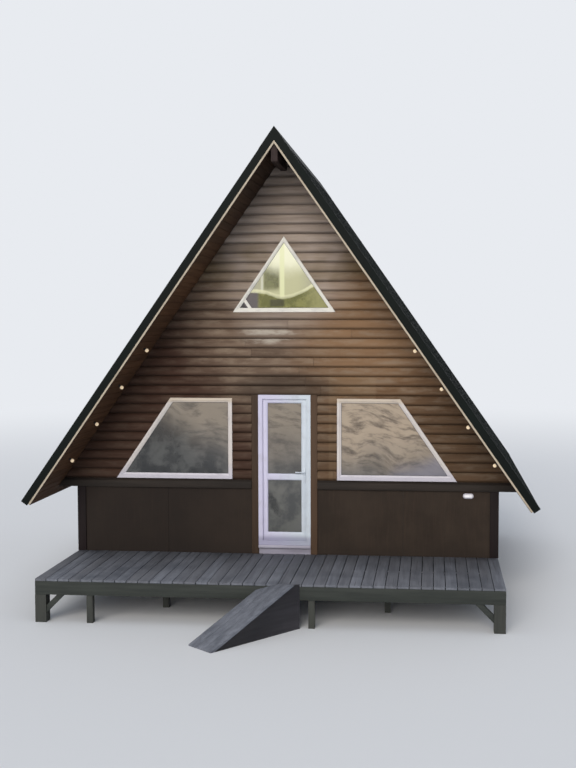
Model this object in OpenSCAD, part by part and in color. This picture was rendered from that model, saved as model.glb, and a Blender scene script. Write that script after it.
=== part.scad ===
/* [Body] */
// Length of the house from the front wall face to the back wall face
house_len = 4500; // [3600:100:6000]
// Width of the low box that carries the roof, wall face to wall face
house_w = 6000; // [5400:50:6400]
// Thickness of the framed walls
wall_t = 140; // [110:5:180]
// Height of the ledge over the low wall, where the eave soffit lies
ledge_h = 1510; // [1400:10:1700]

/* [Roof] */
// Slope of both roof planes in degrees
roof_slope = 55; // [50:0.5:58]
// Distance the lining planes stand out past the low walls at the height of the ledge
eave_reach = 300; // [250:10:600]
// Distance the roof runs down past the eave soffit
eave_tail = 140; // [100:10:300]
// Distance the roof reaches over the front wall
front_overhang = 930; // [500:10:1200]
// Distance the roof reaches over the back wall
back_overhang = 400; // [300:10:700]
// Thickness of the boards seen from below
lining_t = 20; // [15:1:30]
// Thickness of the boarded and insulated roof layer
boarding_t = 84; // [60:2:120]
// Thickness of the folded metal sheet
sheet_t = 3; // [2:0.5:5]
// Height of a rib of the metal sheet
rib_h = 20; // [12:1:30]
// Width of a rib at its foot
rib_foot_w = 60; // [50:1:80]
// Width of a rib at its top
rib_top_w = 30; // [20:1:40]
// Largest distance between two ribs
rib_pitch = 210; // [180:5:300]
// Distance the metal runs down past the eave board
sheet_drip = 25; // [15:1:50]
// Width of each wing of the ridge cap
cap_wing = 170; // [120:5:250]
// Thickness of the rake and eave boards
edge_board_t = 22; // [18:1:30]
// Height of the pale strip of rake board that shows under the flashing
strip_h = 28; // [20:1:60]
// Width of the flange that folds over the last rib
flange_w = 110; // [80:5:160]

/* [Fits] */
// Clearance where the sloping faces of two pieces meet
fit = 0.05; // [0.02:0.01:0.2]

/* [Rafters] */
// Depth of a rafter
rafter_d = 120; // [90:5:160]
// Width of a rafter
rafter_w = 50; // [40:5:80]
// Number of rafter pairs
rafter_pairs = 6; // [4:1:8]
// Width of the ridge beam
ridge_beam_w = 90; // [60:5:120]
// Depth of the ridge beam
ridge_beam_d = 230; // [200:10:320]

/* [Floors] */
// Height of the ground floor surface and of the door sill
floor_h = 700; // [650:10:800]
// Thickness of the floor boards
floor_board_t = 28; // [20:1:35]
// Depth of the floor joists
floor_joist_d = 150; // [120:5:200]
// Width of every joist
joist_w = 50; // [40:5:70]
// Largest distance between floor joists
joist_pitch = 620; // [500:10:800]
// Width and depth of the bearers
bearer_s = 150; // [120:5:200]
// Side of a foundation post
foot_post_s = 200; // [160:10:250]
// Number of foundation posts under each bearer
feet_per_bearer = 3; // [3:1:5]
// Height of the loft floor surface
loft_h = 3330; // [3200:10:3500]
// Depth of the loft joists
loft_joist_d = 150; // [120:5:180]

/* [Door] */
// Width of the door frame
door_w = 750; // [700:10:900]
// Height of the door frame
door_h = 2150; // [2000:10:2250]
// Width of the frame profile seen from outside
door_frame_face = 50; // [45:1:70]
// Distance the frames stand out of the wall face
frame_proud = 32; // [26:1:45]
// Width of the stop behind which the leaf closes
stop_w = 14; // [12:1:20]
// Thickness of the stop
stop_t = 20; // [15:1:30]
// Thickness of the door leaf
leaf_t = 55; // [45:1:60]
// Width of the stiles of the leaf
stile_w = 62; // [55:1:90]
// Height of the top rail of the leaf
top_rail_w = 46; // [42:1:90]
// Height of the bottom rail of the leaf
bottom_rail_h = 110; // [90:5:200]
// Height of the middle rail above the floor
mid_rail_h = 945; // [800:10:1200]
// Width of the middle rail
mid_rail_w = 65; // [55:5:100]
// Running clearance round the moving leaf
leaf_gap = 10; // [9:0.5:12]
// Clearance between the leaf and its stop
stop_gap = 5; // [5:0.5:8]
// Height of the door handle above the floor
handle_h = 1050; // [950:10:1150]
// Radius of a hinge barrel
barrel_r = 9; // [8:0.5:12]
// Length of one hinge barrel half
barrel_len = 50; // [35:1:60]
// Radius of the hinge pin
pin_r = 5; // [4:0.5:6]
// Radial clearance round the hinge pin
pin_fit = 0.1; // [0.05:0.05:0.2]
// Gap between the two halves of a hinge barrel
barrel_lift = 1; // [0.5:0.5:3]
// Distance from the door face to the hinge barrel
hinge_off = 1.5; // [1:0.5:4]
// Distance from the upper and lower hinges to the ends of the leaf
hinge_end = 180; // [150:10:300]
// Width of a hinge flap
flap_w = 35; // [25:1:45]
// Width of the handle plate
plate_w = 30; // [24:1:36]
// Height of the handle plate
plate_h = 220; // [180:5:260]
// Thickness of the handle plate
plate_t = 8; // [6:1:12]
// Radius of the handle lever
lever_r = 9; // [7:0.5:11]
// Distance the lever stands off the door
lever_out = 52; // [45:1:60]
// Length of the lever
lever_len = 125; // [100:5:140]
// Distance the sill nose stands out under the door frame
sill_nose = 20; // [10:1:35]
// Thickness of the sill nose
sill_t = 40; // [30:1:60]

/* [Windows] */
// Angle of the slanted sides of all windows
window_side_angle = 55.5; // [54:0.5:57]
// Height of the lower edge of the ground floor windows over the underside of the ledge
window_lift = 130; // [125:5:240]
// Height of the upper edge of the ground floor windows
window_head_h = 2800; // [2600:10:2840]
// Distance from the middle of the house to the upright window sides
window_inner_x = 750; // [650:10:900]
// Distance from the middle of the house to the lower outer corners
window_outer_x = 2440; // [2200:10:2500]
// Height of the lower edge of the attic windows
attic_sill_h = 4020; // [3900:10:4100]
// Half width of an attic window at its lower edge
attic_half_w = 730; // [600:10:800]
// Width of a ground floor window frame member seen from outside
frame_face = 62; // [45:1:80]
// Width of an attic window frame member seen from outside
attic_face = 48; // [40:1:80]
// Depth of a window frame
frame_d = 74; // [60:1:90]
// Thickness of a sealed glass unit
pane_t = 24; // [16:1:32]
// Width of the slanted bar in the corner of the attic window
corner_bar_w = 40; // [30:1:60]
// Distance along the sill from the frame corner to the slanted bar
corner_bar_x = 120; // [100:5:400]

/* [Trim] */
// Distance the ledge stands out of the wall face
ledge_d = 46; // [36:1:70]
// Height of the front edge of the ledge
ledge_edge = 92; // [60:1:100]
// Height of the ledge where it meets the wall
ledge_back_h = 122; // [105:1:128]
// Width of the corner boards and of the boards beside the door
trim_w = 95; // [70:5:120]
// Thickness of the corner boards and of the boards beside the door
trim_t = 26; // [24:1:32]

/* [Deck] */
// Height of the deck surface
deck_h = 570; // [500:10:640]
// Depth of the deck from the wall to its front edge
deck_d = 1750; // [1400:10:2200]
// Distance the deck reaches past the house on each side
deck_side = 20; // [0:5:150]
// Thickness of a deck board
deck_board_t = 32; // [25:1:40]
// Width of a deck board
deck_board_w = 143; // [110:1:160]
// Gap between deck boards
deck_board_gap = 7; // [4:1:12]
// Height of the deck beams
deck_beam_h = 175; // [150:5:200]
// Thickness of the deck ledger, middle beam and rim joists
deck_beam_t = 50; // [40:5:70]
// Thickness of the front deck beam
front_beam_t = 100; // [80:5:120]
// Side of a deck corner post
corner_post_s = 145; // [120:5:160]
// Side of a slim deck post
slim_post_s = 80; // [70:5:100]
// Distance from the left deck edge to the slim front post
slim_post_x = 720; // [500:10:900]
// Reach of a knee brace along the post and along the beam
brace_reach = 240; // [180:10:260]
// Width of a knee brace
brace_w = 70; // [50:5:90]

/* [Ramp] */
// Distance from the middle of the house to the middle of the ramp at the deck
ramp_x = 150; // [-300:10:400]
// Width of the ramp
ramp_w = 430; // [350:10:700]
// Angle by which the ramp turns away to the left
ramp_skew = 40; // [0:1:45]
// Slope of the ramp
ramp_slope = 24; // [20:1:30]
// Number of planks side by side
ramp_planks_n = 3; // [2:1:5]
// Thickness of a ramp plank
ramp_plank_t = 40; // [30:1:50]
// Gap between ramp planks
ramp_plank_gap = 5; // [3:1:10]
// Height of the blunt lower end of a plank
ramp_toe = 15; // [10:1:25]
// Thickness of the closed side boards of the ramp
ramp_side_t = 35; // [25:1:50]

/* [Lights] */
// Distance from the corner of the low wall to the middle of the wall lamp
lamp_in = 400; // [250:10:700]
// Distance from the underside of the ledge down to the middle of the wall lamp
lamp_drop = 70; // [60:5:210]
// Width of the wall lamp
lamp_w = 150; // [100:5:200]
// Height of the wall lamp
lamp_tall = 76; // [60:2:90]
// Width of the rim round the lens of the wall lamp
lamp_rim = 9; // [6:1:14]
// Thickness of the back plate of the wall lamp
lamp_plate_t = 18; // [10:1:25]
// Depth of the wall lamp
lamp_d = 55; // [40:1:70]
// Radius of a bulb on the rake
bulb_r = 26; // [18:1:35]
// Length of a bulb socket
bulb_socket_h = 32; // [20:1:50]
// Distance from the rake board to the bulbs
bulb_in = 420; // [40:10:700]
// Distance from the low end of the roof to the first bulb
bulb_first = 700; // [400:10:900]
// Distance between bulbs along the rake
bulb_pitch = 630; // [500:10:900]
// Number of bulbs on each side
bulbs_per_side = 4; // [3:1:6]

/* [Hidden] */
$fn = 48;
slope_tan = tan(roof_slope);
side_tan = tan(window_side_angle);

// Half width of the lining planes at the height of the ledge, and width of the deck
lining_half_w = house_w / 2 + eave_reach;
deck_w = house_w + 2 * deck_side;

// Apex of the lining planes, where both undersides of the roof meet
apex_h = ledge_h + lining_half_w * slope_tan;
slope_len = lining_half_w / cos(roof_slope) + eave_tail;

// Apex of what is fitted under the lining planes, and drop from there to what is fitted under the rafters
bearing_apex = apex_h - fit / cos(roof_slope);
rafter_drop = rafter_d / cos(roof_slope);
under_rafter_drop = (rafter_d + fit) / cos(roof_slope);

// Heights of the roof layers, measured square to the slope from the lining plane
boarding_top_n = lining_t + boarding_t;
sheet_n = boarding_top_n + fit;
rib_top_n = sheet_n + sheet_t + rib_h;
roof_top_n = rib_top_n + sheet_t;

// Depth of a roof edge, from the outer face of the flashing to the inner face of the rake board
edge_t = sheet_t + fit + edge_board_t;

// Ramp run and reach in front of the deck, down to the ground
ramp_tan = tan(ramp_slope);
ramp_run = deck_h / ramp_tan;
ramp_reach = (ramp_run - ramp_toe / ramp_tan) * cos(ramp_skew) + ramp_w / 2 * sin(ramp_skew);

// Front and back wall faces, placed to a hundredth so that the origin is under the middle of the cabin
front_reach = deck_d + ramp_reach;
back_reach = house_len + back_overhang;
front_y = round((front_reach - back_reach) * 50) / 100;
back_y = front_y + house_len;
roof_front_y = front_y - front_overhang;
roof_back_y = back_y + back_overhang;
deck_front_y = front_y - deck_d;

// Floor levels
floor_under = floor_h - floor_board_t;
wall_base = floor_under - floor_joist_d;
bearer_base = wall_base - bearer_s;
loft_under = loft_h - floor_board_t;
door_top = floor_h + door_h;
deck_under = deck_h - deck_board_t;
deck_beam_base = deck_under - deck_beam_h;
inner_half_w = house_w / 2 - wall_t;
inner_len = house_len - 2 * wall_t;

// Point of the roof section at distance u down the slope and n above the lining plane
function slope_pt(u, n) = [
    u * cos(roof_slope) + n * sin(roof_slope),
    apex_h - u * sin(roof_slope) + n * cos(roof_slope)
];

// Half width at height z of what is fitted under the lining planes, and of what is fitted under the rafters
function half_at(z) = (bearing_apex - z) / slope_tan;
function under_rafter_half(z) = (bearing_apex - under_rafter_drop - z) / slope_tan;

// Height under the rafters, and of their own undersides, at distance x from the middle
function under_rafter(x) = bearing_apex - x * slope_tan - under_rafter_drop;
function rafter_base(x) = bearing_apex - x * slope_tan - rafter_drop;

// Start of a layer at the ridge, where the two slopes meet in the middle plane
function ridge_u(n) = -n * slope_tan;

// Line through two points, moved square to itself by d towards its left
function moved_line(p, q, d) =
    let (e = (q - p) / norm(q - p), s = [-e[1], e[0]] * d)
    [p + s, e];

// Point where two lines cross
function crossing(a, b) =
    let (c = a[1][0] * b[1][1] - a[1][1] * b[1][0],
         w = b[0] - a[0],
         t = (w[0] * b[1][1] - w[1] * b[1][0]) / c)
    a[0] + a[1] * t;

// Outline moved inwards by its own distance on each side; the outline runs anticlockwise
function inset(pts, d) =
    let (n = len(pts),
         lines = [for (i = [0:n - 1]) moved_line(pts[i], pts[(i + 1) % n], d[i])])
    [for (i = [0:n - 1]) crossing(lines[(i + n - 1) % n], lines[i])];

// Outline mirrored in the middle plane, still anticlockwise
function flipped(pts) = [for (i = [len(pts) - 1:-1:0]) [-pts[i][0], pts[i][1]]];

// Flat outline in the plane of the front wall, given its depth from y0 to y1
module upright(pts, y0, y1) {
    translate([0, y1, 0])
        rotate([90, 0, 0])
            linear_extrude(y1 - y0)
                polygon(pts);
}

// Box from its lowest corner to its highest corner
module block(a, b) {
    translate(a)
        cube(b - a);
}

// The same solid on both sides of the house
module both_sides() {
    children();
    mirror([1, 0, 0])
        children();
}

// Outline of a gable wall above the low box
gable = [
    [half_at(ledge_h), ledge_h],
    [0, bearing_apex],
    [-half_at(ledge_h), ledge_h]
];

// Right part of the gable wall, from the low box to the door head
gable_side = [
    [door_w / 2, ledge_h],
    [half_at(ledge_h), ledge_h],
    [half_at(door_top), door_top],
    [door_w / 2, door_top]
];

// Right window outline
window_sill_h = ledge_h + window_lift;
window_pts = [
    [window_inner_x, window_sill_h],
    [window_outer_x, window_sill_h],
    [window_outer_x - (window_head_h - window_sill_h) / side_tan, window_head_h],
    [window_inner_x, window_head_h]
];
window_faces = [frame_face * 1.25, frame_face, frame_face, frame_face];

// Attic window outline
attic_pts = [
    [-attic_half_w, attic_sill_h],
    [attic_half_w, attic_sill_h],
    [0, attic_sill_h + attic_half_w * side_tan]
];
attic_faces = [attic_face * 1.25, attic_face, attic_face];

// Slanted bar in the left corner of the attic window
bar_foot = inset(attic_pts, attic_faces)[0] + [corner_bar_x, 0];
bar_dir = [-cos(window_side_angle), sin(window_side_angle)];
bar_side = [sin(window_side_angle), cos(window_side_angle)] * corner_bar_w;
bar_pts = [
    bar_foot - bar_dir * attic_half_w,
    bar_foot - bar_dir * attic_half_w + bar_side,
    bar_foot + bar_dir * attic_half_w + bar_side,
    bar_foot + bar_dir * attic_half_w
];

// Opening that one window leaves in its wall
module window_hole(pts, y0, y1) {
    upright(pts, y0 - wall_t, y1 + wall_t);
}

// Mitred frame of one window; the outer face is at y0
module window_frame(pts, faces, y0) {
    difference() {
        upright(pts, y0, y0 + frame_d);
        upright(inset(pts, faces), y0 - frame_d, y0 + 2 * frame_d);
    }
}

// Sealed glass unit in the middle of its frame
module window_pane(pts, faces, y0) {
    upright(inset(pts, faces), y0 + (frame_d - pane_t) / 2, y0 + (frame_d + pane_t) / 2);
}

// Bar over the part of the attic window that the frame leaves open
module attic_bar(y0, y1) {
    intersection() {
        upright(bar_pts, y0, y1);
        upright(inset(attic_pts, attic_faces), y0, y1);
    }
}

front_frame_y = front_y - frame_proud;
back_frame_y = back_y + frame_proud - frame_d;

// Layer of the right roof slope between two distances from the lining plane
module slope_layer(n0, n1, u1, y0, y1) {
    upright([
        slope_pt(ridge_u(n0), n0),
        slope_pt(u1, n0),
        slope_pt(u1, n1),
        slope_pt(ridge_u(n1), n1)
    ], y0, y1);
}

// Section across the house, run down the right slope and mitred in the middle plane
module down_slope(pts, u1) {
    intersection() {
        translate([0, 0, apex_h])
            rotate([0, roof_slope, 0])
                translate([-house_w / 4, 0, 0])
                    rotate([90, 0, 90])
                        linear_extrude(u1 + house_w / 4)
                            polygon(pts);
        block([0, roof_front_y, 0], [house_w, roof_back_y, 2 * apex_h]);
    }
}

// Square posts from the ground up, given as middle point, side and height
module post_at(x, y, s, h) {
    block([x - s / 2, y - s / 2, 0], [x + s / 2, y + s / 2, h]);
}

// Posts under the bearers and under the deck
module foundation_posts() {
    color("dimgray") {
        for (x = bearer_xs, i = [0:feet_per_bearer - 1])
            post_at(x, foot_y(i), foot_post_s, bearer_base);
        for (side = [-1, 1])
            post_at(side * (deck_w - corner_post_s) / 2, deck_front_y + corner_post_s / 2,
                corner_post_s, deck_beam_base);
        for (x = slim_front_xs)
            post_at(x, deck_front_y + front_beam_t / 2, slim_post_s, deck_beam_base);
        for (side = [-1, 1])
            post_at(side * deck_w / 4, mid_beam_y, slim_post_s, deck_beam_base);
    }
}
bearer_xs = [-(house_w - bearer_s) / 2, 0, (house_w - bearer_s) / 2];
slim_front_xs = [-deck_w / 2 + slim_post_x, ramp_x + ramp_w];
mid_beam_y = front_y - deck_d / 2;
function foot_y(i) = front_y + foot_post_s / 2
    + i * (house_len - foot_post_s) / (feet_per_bearer - 1);

// Long beams that carry the house
module bearers() {
    color("saddlebrown")
        for (x = bearer_xs)
            block([x - bearer_s / 2, front_y, bearer_base],
                [x + bearer_s / 2, back_y, wall_base]);
}

// Places of members spread evenly between the gable walls
function spread(first, last, pitch) =
    let (n = ceil((last - first) / pitch))
    [for (i = [0:n]) first + i * (last - first) / n];

module floor_joists() {
    color("tan")
        for (y = spread(front_y + wall_t, back_y - wall_t - joist_w, joist_pitch))
            block([-inner_half_w, y, wall_base], [inner_half_w, y + joist_w, floor_under]);
}

module ground_floor() {
    color("burlywood")
        block([-inner_half_w, front_y + wall_t, floor_under],
            [inner_half_w, back_y - wall_t, floor_h]);
}

// Low walls under the gables: two beside the door and one across the back
module low_end_walls() {
    color("sienna") {
        both_sides()
            block([door_w / 2, front_y, wall_base], [house_w / 2, front_y + wall_t, ledge_h]);
        block([-house_w / 2, back_y - wall_t, wall_base], [house_w / 2, back_y, ledge_h]);
    }
}

// Right part of the front gable, beside the door, with its window opening
module front_wall_right() {
    color("peru")
        difference() {
            upright(gable_side, front_y, front_y + wall_t);
            window_hole(window_pts, front_y, front_y + wall_t);
        }
}

module front_wall_left() {
    color("peru")
        mirror([1, 0, 0])
            front_wall_right();
}

// Upper part of the front wall, from the door head to the ridge beam
module front_wall_over_door() {
    color("peru")
        difference() {
            upright([
                [-half_at(door_top), door_top],
                [half_at(door_top), door_top],
                [0, bearing_apex]
            ], front_y, front_y + wall_t);
            window_hole(attic_pts, front_y, front_y + wall_t);
            ridge_beam_notch(front_y);
        }
}

// Back wall, with the same windows as the front
module back_wall() {
    color("peru")
        difference() {
            upright(gable, back_y - wall_t, back_y);
            window_hole(window_pts, back_y - wall_t, back_y);
            window_hole(flipped(window_pts), back_y - wall_t, back_y);
            window_hole(attic_pts, back_y - wall_t, back_y);
            ridge_beam_notch(back_y - wall_t);
        }
}

// Low side walls, their tops bevelled to carry the rafters
module side_walls() {
    color("sienna")
        both_sides()
            upright([
                [inner_half_w, wall_base],
                [house_w / 2, wall_base],
                [house_w / 2, under_rafter(house_w / 2)],
                [inner_half_w, under_rafter(inner_half_w)]
            ], front_y + wall_t, back_y - wall_t);
}

// Ledge with a weathered top, between the boards beside the door and the roof
module ledge_piece(x0) {
    intersection() {
        upright([
            [x0, ledge_h],
            [half_at(ledge_h), ledge_h],
            [half_at(ledge_h + ledge_back_h), ledge_h + ledge_back_h],
            [x0, ledge_h + ledge_back_h]
        ], front_y - ledge_d, front_y);
        translate([x0, front_y, ledge_h])
            rotate([90, 0, 90])
                linear_extrude(lining_half_w)
                    polygon([[0, 0], [-ledge_d, 0], [-ledge_d, ledge_edge], [0, ledge_back_h]]);
    }
}

module band_boards() {
    color("saddlebrown") {
        both_sides()
            ledge_piece(door_w / 2 + trim_w);
        translate([0, front_y + back_y, 0])
            mirror([0, 1, 0])
                both_sides()
                    ledge_piece(0);
    }
}

// Corner board that wraps the low wall from a given height up
module corner_board(base) {
    difference() {
        block([house_w / 2 - trim_w, front_y - trim_t, base],
            [house_w / 2 + trim_t, front_y + trim_w, ledge_h]);
        block([0, front_y, base - trim_w],
            [house_w / 2, back_y, ledge_h + trim_w]);
    }
}

module wall_trim_boards() {
    color("brown") {
        both_sides() {
            corner_board(deck_h);
            translate([0, front_y + back_y, 0])
                mirror([0, 1, 0])
                    corner_board(wall_base);
            block([door_w / 2, front_y - trim_t, deck_h],
                [door_w / 2 + trim_w, front_y, door_top]);
        }
    }
}

// Timber under the door, with a nose that throws off water
module door_sill() {
    color("gainsboro") {
        block([-door_w / 2, front_y, wall_base], [door_w / 2, front_y + wall_t, floor_h]);
        block([-door_w / 2, front_frame_y - sill_nose, floor_h - sill_t],
            [door_w / 2, front_y, floor_h]);
    }
}

// Rectangle in the plane of the door, moved in from the frame's outline by d
function door_rect(d) = [
    [-door_w / 2 + d, floor_h + d],
    [door_w / 2 - d, floor_h + d],
    [door_w / 2 - d, door_top - d],
    [-door_w / 2 + d, door_top - d]
];
door_frame_d = stop_t + stop_gap + leaf_t;
frame_in_y = front_frame_y + door_frame_d;
leaf_y = frame_in_y - leaf_t;
leaf_in = door_frame_face + leaf_gap;
leaf_half_w = door_w / 2 - leaf_in;
leaf_base = floor_h + leaf_in;
leaf_top = door_top - leaf_in;

// Door frame with an outer stop that the leaf closes against
module door_frame() {
    color("white")
        difference() {
            upright(door_rect(0), front_frame_y, frame_in_y);
            upright(door_rect(door_frame_face), front_frame_y + stop_t, frame_in_y + wall_t);
            upright(door_rect(door_frame_face + stop_w), front_y - wall_t, frame_in_y);
        }
}

// Outline of a pane in the leaf between two heights
function pane_rect(z0, z1) = [
    [-leaf_half_w + stile_w, z0],
    [leaf_half_w - stile_w, z0],
    [leaf_half_w - stile_w, z1],
    [-leaf_half_w + stile_w, z1]
];
leaf_panes = [
    pane_rect(leaf_base + bottom_rail_h, floor_h + mid_rail_h),
    pane_rect(floor_h + mid_rail_h + mid_rail_w, leaf_top - top_rail_w)
];

// Glazed leaf with a low bottom rail and one middle rail
module door_leaf() {
    color("white")
        difference() {
            upright(door_rect(leaf_in), leaf_y, frame_in_y);
            for (p = leaf_panes)
                upright(p, leaf_y - leaf_t, frame_in_y + leaf_t);
        }
}

module door_glass() {
    color("lightblue")
        for (p = leaf_panes)
            upright(p, leaf_y + (leaf_t - pane_t) / 2, leaf_y + (leaf_t + pane_t) / 2);
}

// Hinge line beside the inner face of the frame
hinge_x = -door_w / 2 + door_frame_face + leaf_gap / 2;
hinge_y = frame_in_y + barrel_r + hinge_off;
hinge_zs = [leaf_base + hinge_end, (leaf_base + leaf_top) / 2, leaf_top - hinge_end];

// Flap that fixes a hinge barrel to the face behind it
module hinge_flap(side, z0) {
    x0 = side < 0 ? hinge_x - flap_w : hinge_x;
    block([x0, frame_in_y, z0], [x0 + flap_w, hinge_y - barrel_r / 2, z0 + barrel_len]);
}

// Lower barrels with their pins, fixed to the frame
module frame_hinges() {
    color("silver")
        for (z = hinge_zs) {
            hinge_flap(-1, z - barrel_len);
            translate([hinge_x, hinge_y, z - barrel_len])
                cylinder(r = barrel_r, h = barrel_len);
            translate([hinge_x, hinge_y, z])
                cylinder(r = pin_r, h = barrel_len * 0.8);
        }
}

// Upper barrels, fixed to the leaf and bored for the pins
module door_hinges() {
    color("silver")
        for (z = hinge_zs)
            difference() {
                union() {
                    hinge_flap(1, z + barrel_lift);
                    translate([hinge_x, hinge_y, z + barrel_lift])
                        cylinder(r = barrel_r, h = barrel_len);
                }
                translate([hinge_x, hinge_y, z - barrel_len])
                    cylinder(r = pin_r + pin_fit, h = 3 * barrel_len);
            }
}

// Lever handles on plates, outside and inside
module door_handle() {
    x = leaf_half_w - stile_w / 2;
    z = floor_h + handle_h;
    color("white") {
        for (face = [[leaf_y, -1], [frame_in_y, 1]])
            translate([x, face[0], z])
                mirror([0, face[1] > 0 ? 1 : 0, 0]) {
                    block([-plate_w / 2, -plate_t, -plate_h * 0.7],
                        [plate_w / 2, 0, plate_h * 0.3]);
                    rotate([90, 0, 0])
                        cylinder(r = lever_r, h = lever_out);
                    translate([0, -lever_out + lever_r, 0])
                        rotate([0, -90, 0])
                            cylinder(r = lever_r, h = lever_len);
                }
    }
}

// Rafter places along the house
rafter_ys = [for (i = [0:rafter_pairs - 1])
    front_y + wall_t + i * (inner_len - rafter_w) / (rafter_pairs - 1)];

// Loft joists between the rafters of each pair, cut to the slope at both ends
module loft_joists() {
    color("tan")
        for (y = rafter_ys)
            upright(loft_section(loft_under - loft_joist_d, loft_under), y, y + rafter_w);
}

// Section of a loft piece between two heights, ending under the rafters
function loft_section(z0, z1) = [
    [-under_rafter_half(z0), z0],
    [under_rafter_half(z0), z0],
    [under_rafter_half(z1), z1],
    [-under_rafter_half(z1), z1]
];

module loft_floor() {
    color("burlywood")
        upright(loft_section(loft_under, loft_h), front_y + wall_t, back_y - wall_t);
}

// Notch in the peak of a gable wall that the ridge beam passes through
module ridge_beam_notch(y) {
    block([-ridge_beam_w / 2, y - wall_t, apex_h - ridge_beam_d],
        [ridge_beam_w / 2, y + 2 * wall_t, apex_h + ridge_beam_d]);
}

// Ridge beam under the peak, running out to the front rake
module ridge_beam_shape() {
    h = ridge_beam_w / 2;
    upright([
        [-h, apex_h - ridge_beam_d],
        [h, apex_h - ridge_beam_d],
        [h, bearing_apex - h * slope_tan],
        [0, bearing_apex],
        [-h, bearing_apex - h * slope_tan]
    ], roof_front_y + edge_t, roof_back_y - edge_t);
}

module ridge_beam() {
    color("sienna")
        ridge_beam_shape();
}

// Rafters from the ridge beam down to the side walls
module rafters() {
    x0 = ridge_beam_w / 2;
    x1 = house_w / 2;
    color("tan")
        both_sides()
            for (y = rafter_ys)
                upright([
                    [x0, rafter_base(x0)],
                    [x1, rafter_base(x1)],
                    [x1, bearing_apex - x1 * slope_tan],
                    [x0, bearing_apex - x0 * slope_tan]
                ], y, y + rafter_w);
}

// Boards on the underside of the roof, seen under the overhang and inside
module roof_lining_right() {
    color("tan")
        slope_layer(0, lining_t, slope_len, roof_front_y + edge_t, roof_back_y - edge_t);
}

module roof_lining_left() {
    mirror([1, 0, 0])
        roof_lining_right();
}

// Boarded and insulated layer between the lining and the metal
module roof_boarding_right() {
    color("wheat")
        slope_layer(lining_t, boarding_top_n, slope_len, roof_front_y + edge_t, roof_back_y - edge_t);
}

module roof_boarding_left() {
    mirror([1, 0, 0])
        roof_boarding_right();
}

// Middle lines of the ribs, the outer ones under the flashing flanges
rib_ys = spread(roof_front_y + flange_w / 2, roof_back_y - flange_w / 2, rib_pitch);

// Folded section of the metal roof: flat pans with raised ribs
sheet_top = [for (y = rib_ys) each [
    [y - rib_foot_w / 2, sheet_n + sheet_t],
    [y - rib_top_w / 2, rib_top_n],
    [y + rib_top_w / 2, rib_top_n],
    [y + rib_foot_w / 2, sheet_n + sheet_t]
]];
sheet_under = [for (i = [len(rib_ys) - 1:-1:0]) each [
    [rib_ys[i] + rib_foot_w / 2 - sheet_t, sheet_n],
    [rib_ys[i] + rib_top_w / 2 - sheet_t, rib_top_n - sheet_t],
    [rib_ys[i] - rib_top_w / 2 + sheet_t, rib_top_n - sheet_t],
    [rib_ys[i] - rib_foot_w / 2 + sheet_t, sheet_n]
]];

module roof_sheet_right() {
    color("darkslategray")
        down_slope(concat(
            [[roof_front_y + sheet_t, sheet_n], [roof_front_y + sheet_t, sheet_n + sheet_t]],
            sheet_top,
            [[roof_back_y - sheet_t, sheet_n + sheet_t], [roof_back_y - sheet_t, sheet_n]],
            sheet_under
        ), slope_len + edge_board_t + sheet_drip);
}

module roof_sheet_left() {
    mirror([1, 0, 0])
        roof_sheet_right();
}

// Folded cap over the ridge, lying on the flanges of the rake flashings
module ridge_cap() {
    under_n = roof_top_n + fit;
    cap_n = under_n + sheet_t;
    wing = slope_pt(cap_wing, under_n);
    wing_top = slope_pt(cap_wing, cap_n);
    color("darkslategray")
        upright([
            wing, wing_top, slope_pt(ridge_u(cap_n), cap_n),
            [-wing_top[0], wing_top[1]], [-wing[0], wing[1]],
            slope_pt(ridge_u(under_n), under_n)
        ], roof_front_y, roof_back_y);
}

// Boards that close the roof edge over the front and back walls
module rake_board_right() {
    color("antiquewhite")
        for (y = [roof_front_y + edge_t - edge_board_t, roof_back_y - edge_t])
            slope_layer(0, boarding_top_n, slope_len + edge_board_t, y, y + edge_board_t);
}

module rake_board_left() {
    mirror([1, 0, 0])
        rake_board_right();
}

// Folded metal angle over a rake board and the outer rib
flashing_section = [
    [roof_front_y, strip_h],
    [roof_front_y + sheet_t, strip_h],
    [roof_front_y + sheet_t, rib_top_n],
    [roof_front_y + flange_w, rib_top_n],
    [roof_front_y + flange_w, roof_top_n],
    [roof_front_y, roof_top_n]
];

module rake_flashing_right() {
    u1 = slope_len + edge_board_t + sheet_drip;
    color("darkgreen") {
        down_slope(flashing_section, u1);
        translate([0, roof_front_y + roof_back_y, 0])
            mirror([0, 1, 0])
                down_slope(flashing_section, u1);
    }
}

module rake_flashing_left() {
    mirror([1, 0, 0])
        rake_flashing_right();
}

// Boards along the low edges of the roof
module eave_boards() {
    color("saddlebrown")
        both_sides()
            upright([
                slope_pt(slope_len + fit, 0),
                slope_pt(slope_len + edge_board_t, 0),
                slope_pt(slope_len + edge_board_t, boarding_top_n),
                slope_pt(slope_len + fit, boarding_top_n)
            ], roof_front_y + edge_t, roof_back_y - edge_t);
}

// Level boards between the low walls and the roof
module eave_soffits() {
    color("tan")
        both_sides()
            upright([
                [house_w / 2, ledge_h],
                [half_at(ledge_h), ledge_h],
                [half_at(ledge_h + lining_t), ledge_h + lining_t],
                [house_w / 2, ledge_h + lining_t]
            ], front_y + wall_t, back_y - wall_t);
}

module front_window_frames() {
    color("white") {
        window_frame(window_pts, window_faces, front_frame_y);
        mirror([1, 0, 0])
            window_frame(window_pts, window_faces, front_frame_y);
    }
}

module attic_window_frame() {
    color("white") {
        window_frame(attic_pts, attic_faces, front_frame_y);
        attic_bar(front_frame_y, front_frame_y + frame_d);
    }
}

// Panes of the front windows
module front_window_glass() {
    color("lightblue") {
        both_sides()
            window_pane(window_pts, window_faces, front_frame_y);
        difference() {
            window_pane(attic_pts, attic_faces, front_frame_y);
            attic_bar(front_frame_y - frame_d, front_frame_y + 2 * frame_d);
        }
    }
}

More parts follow.
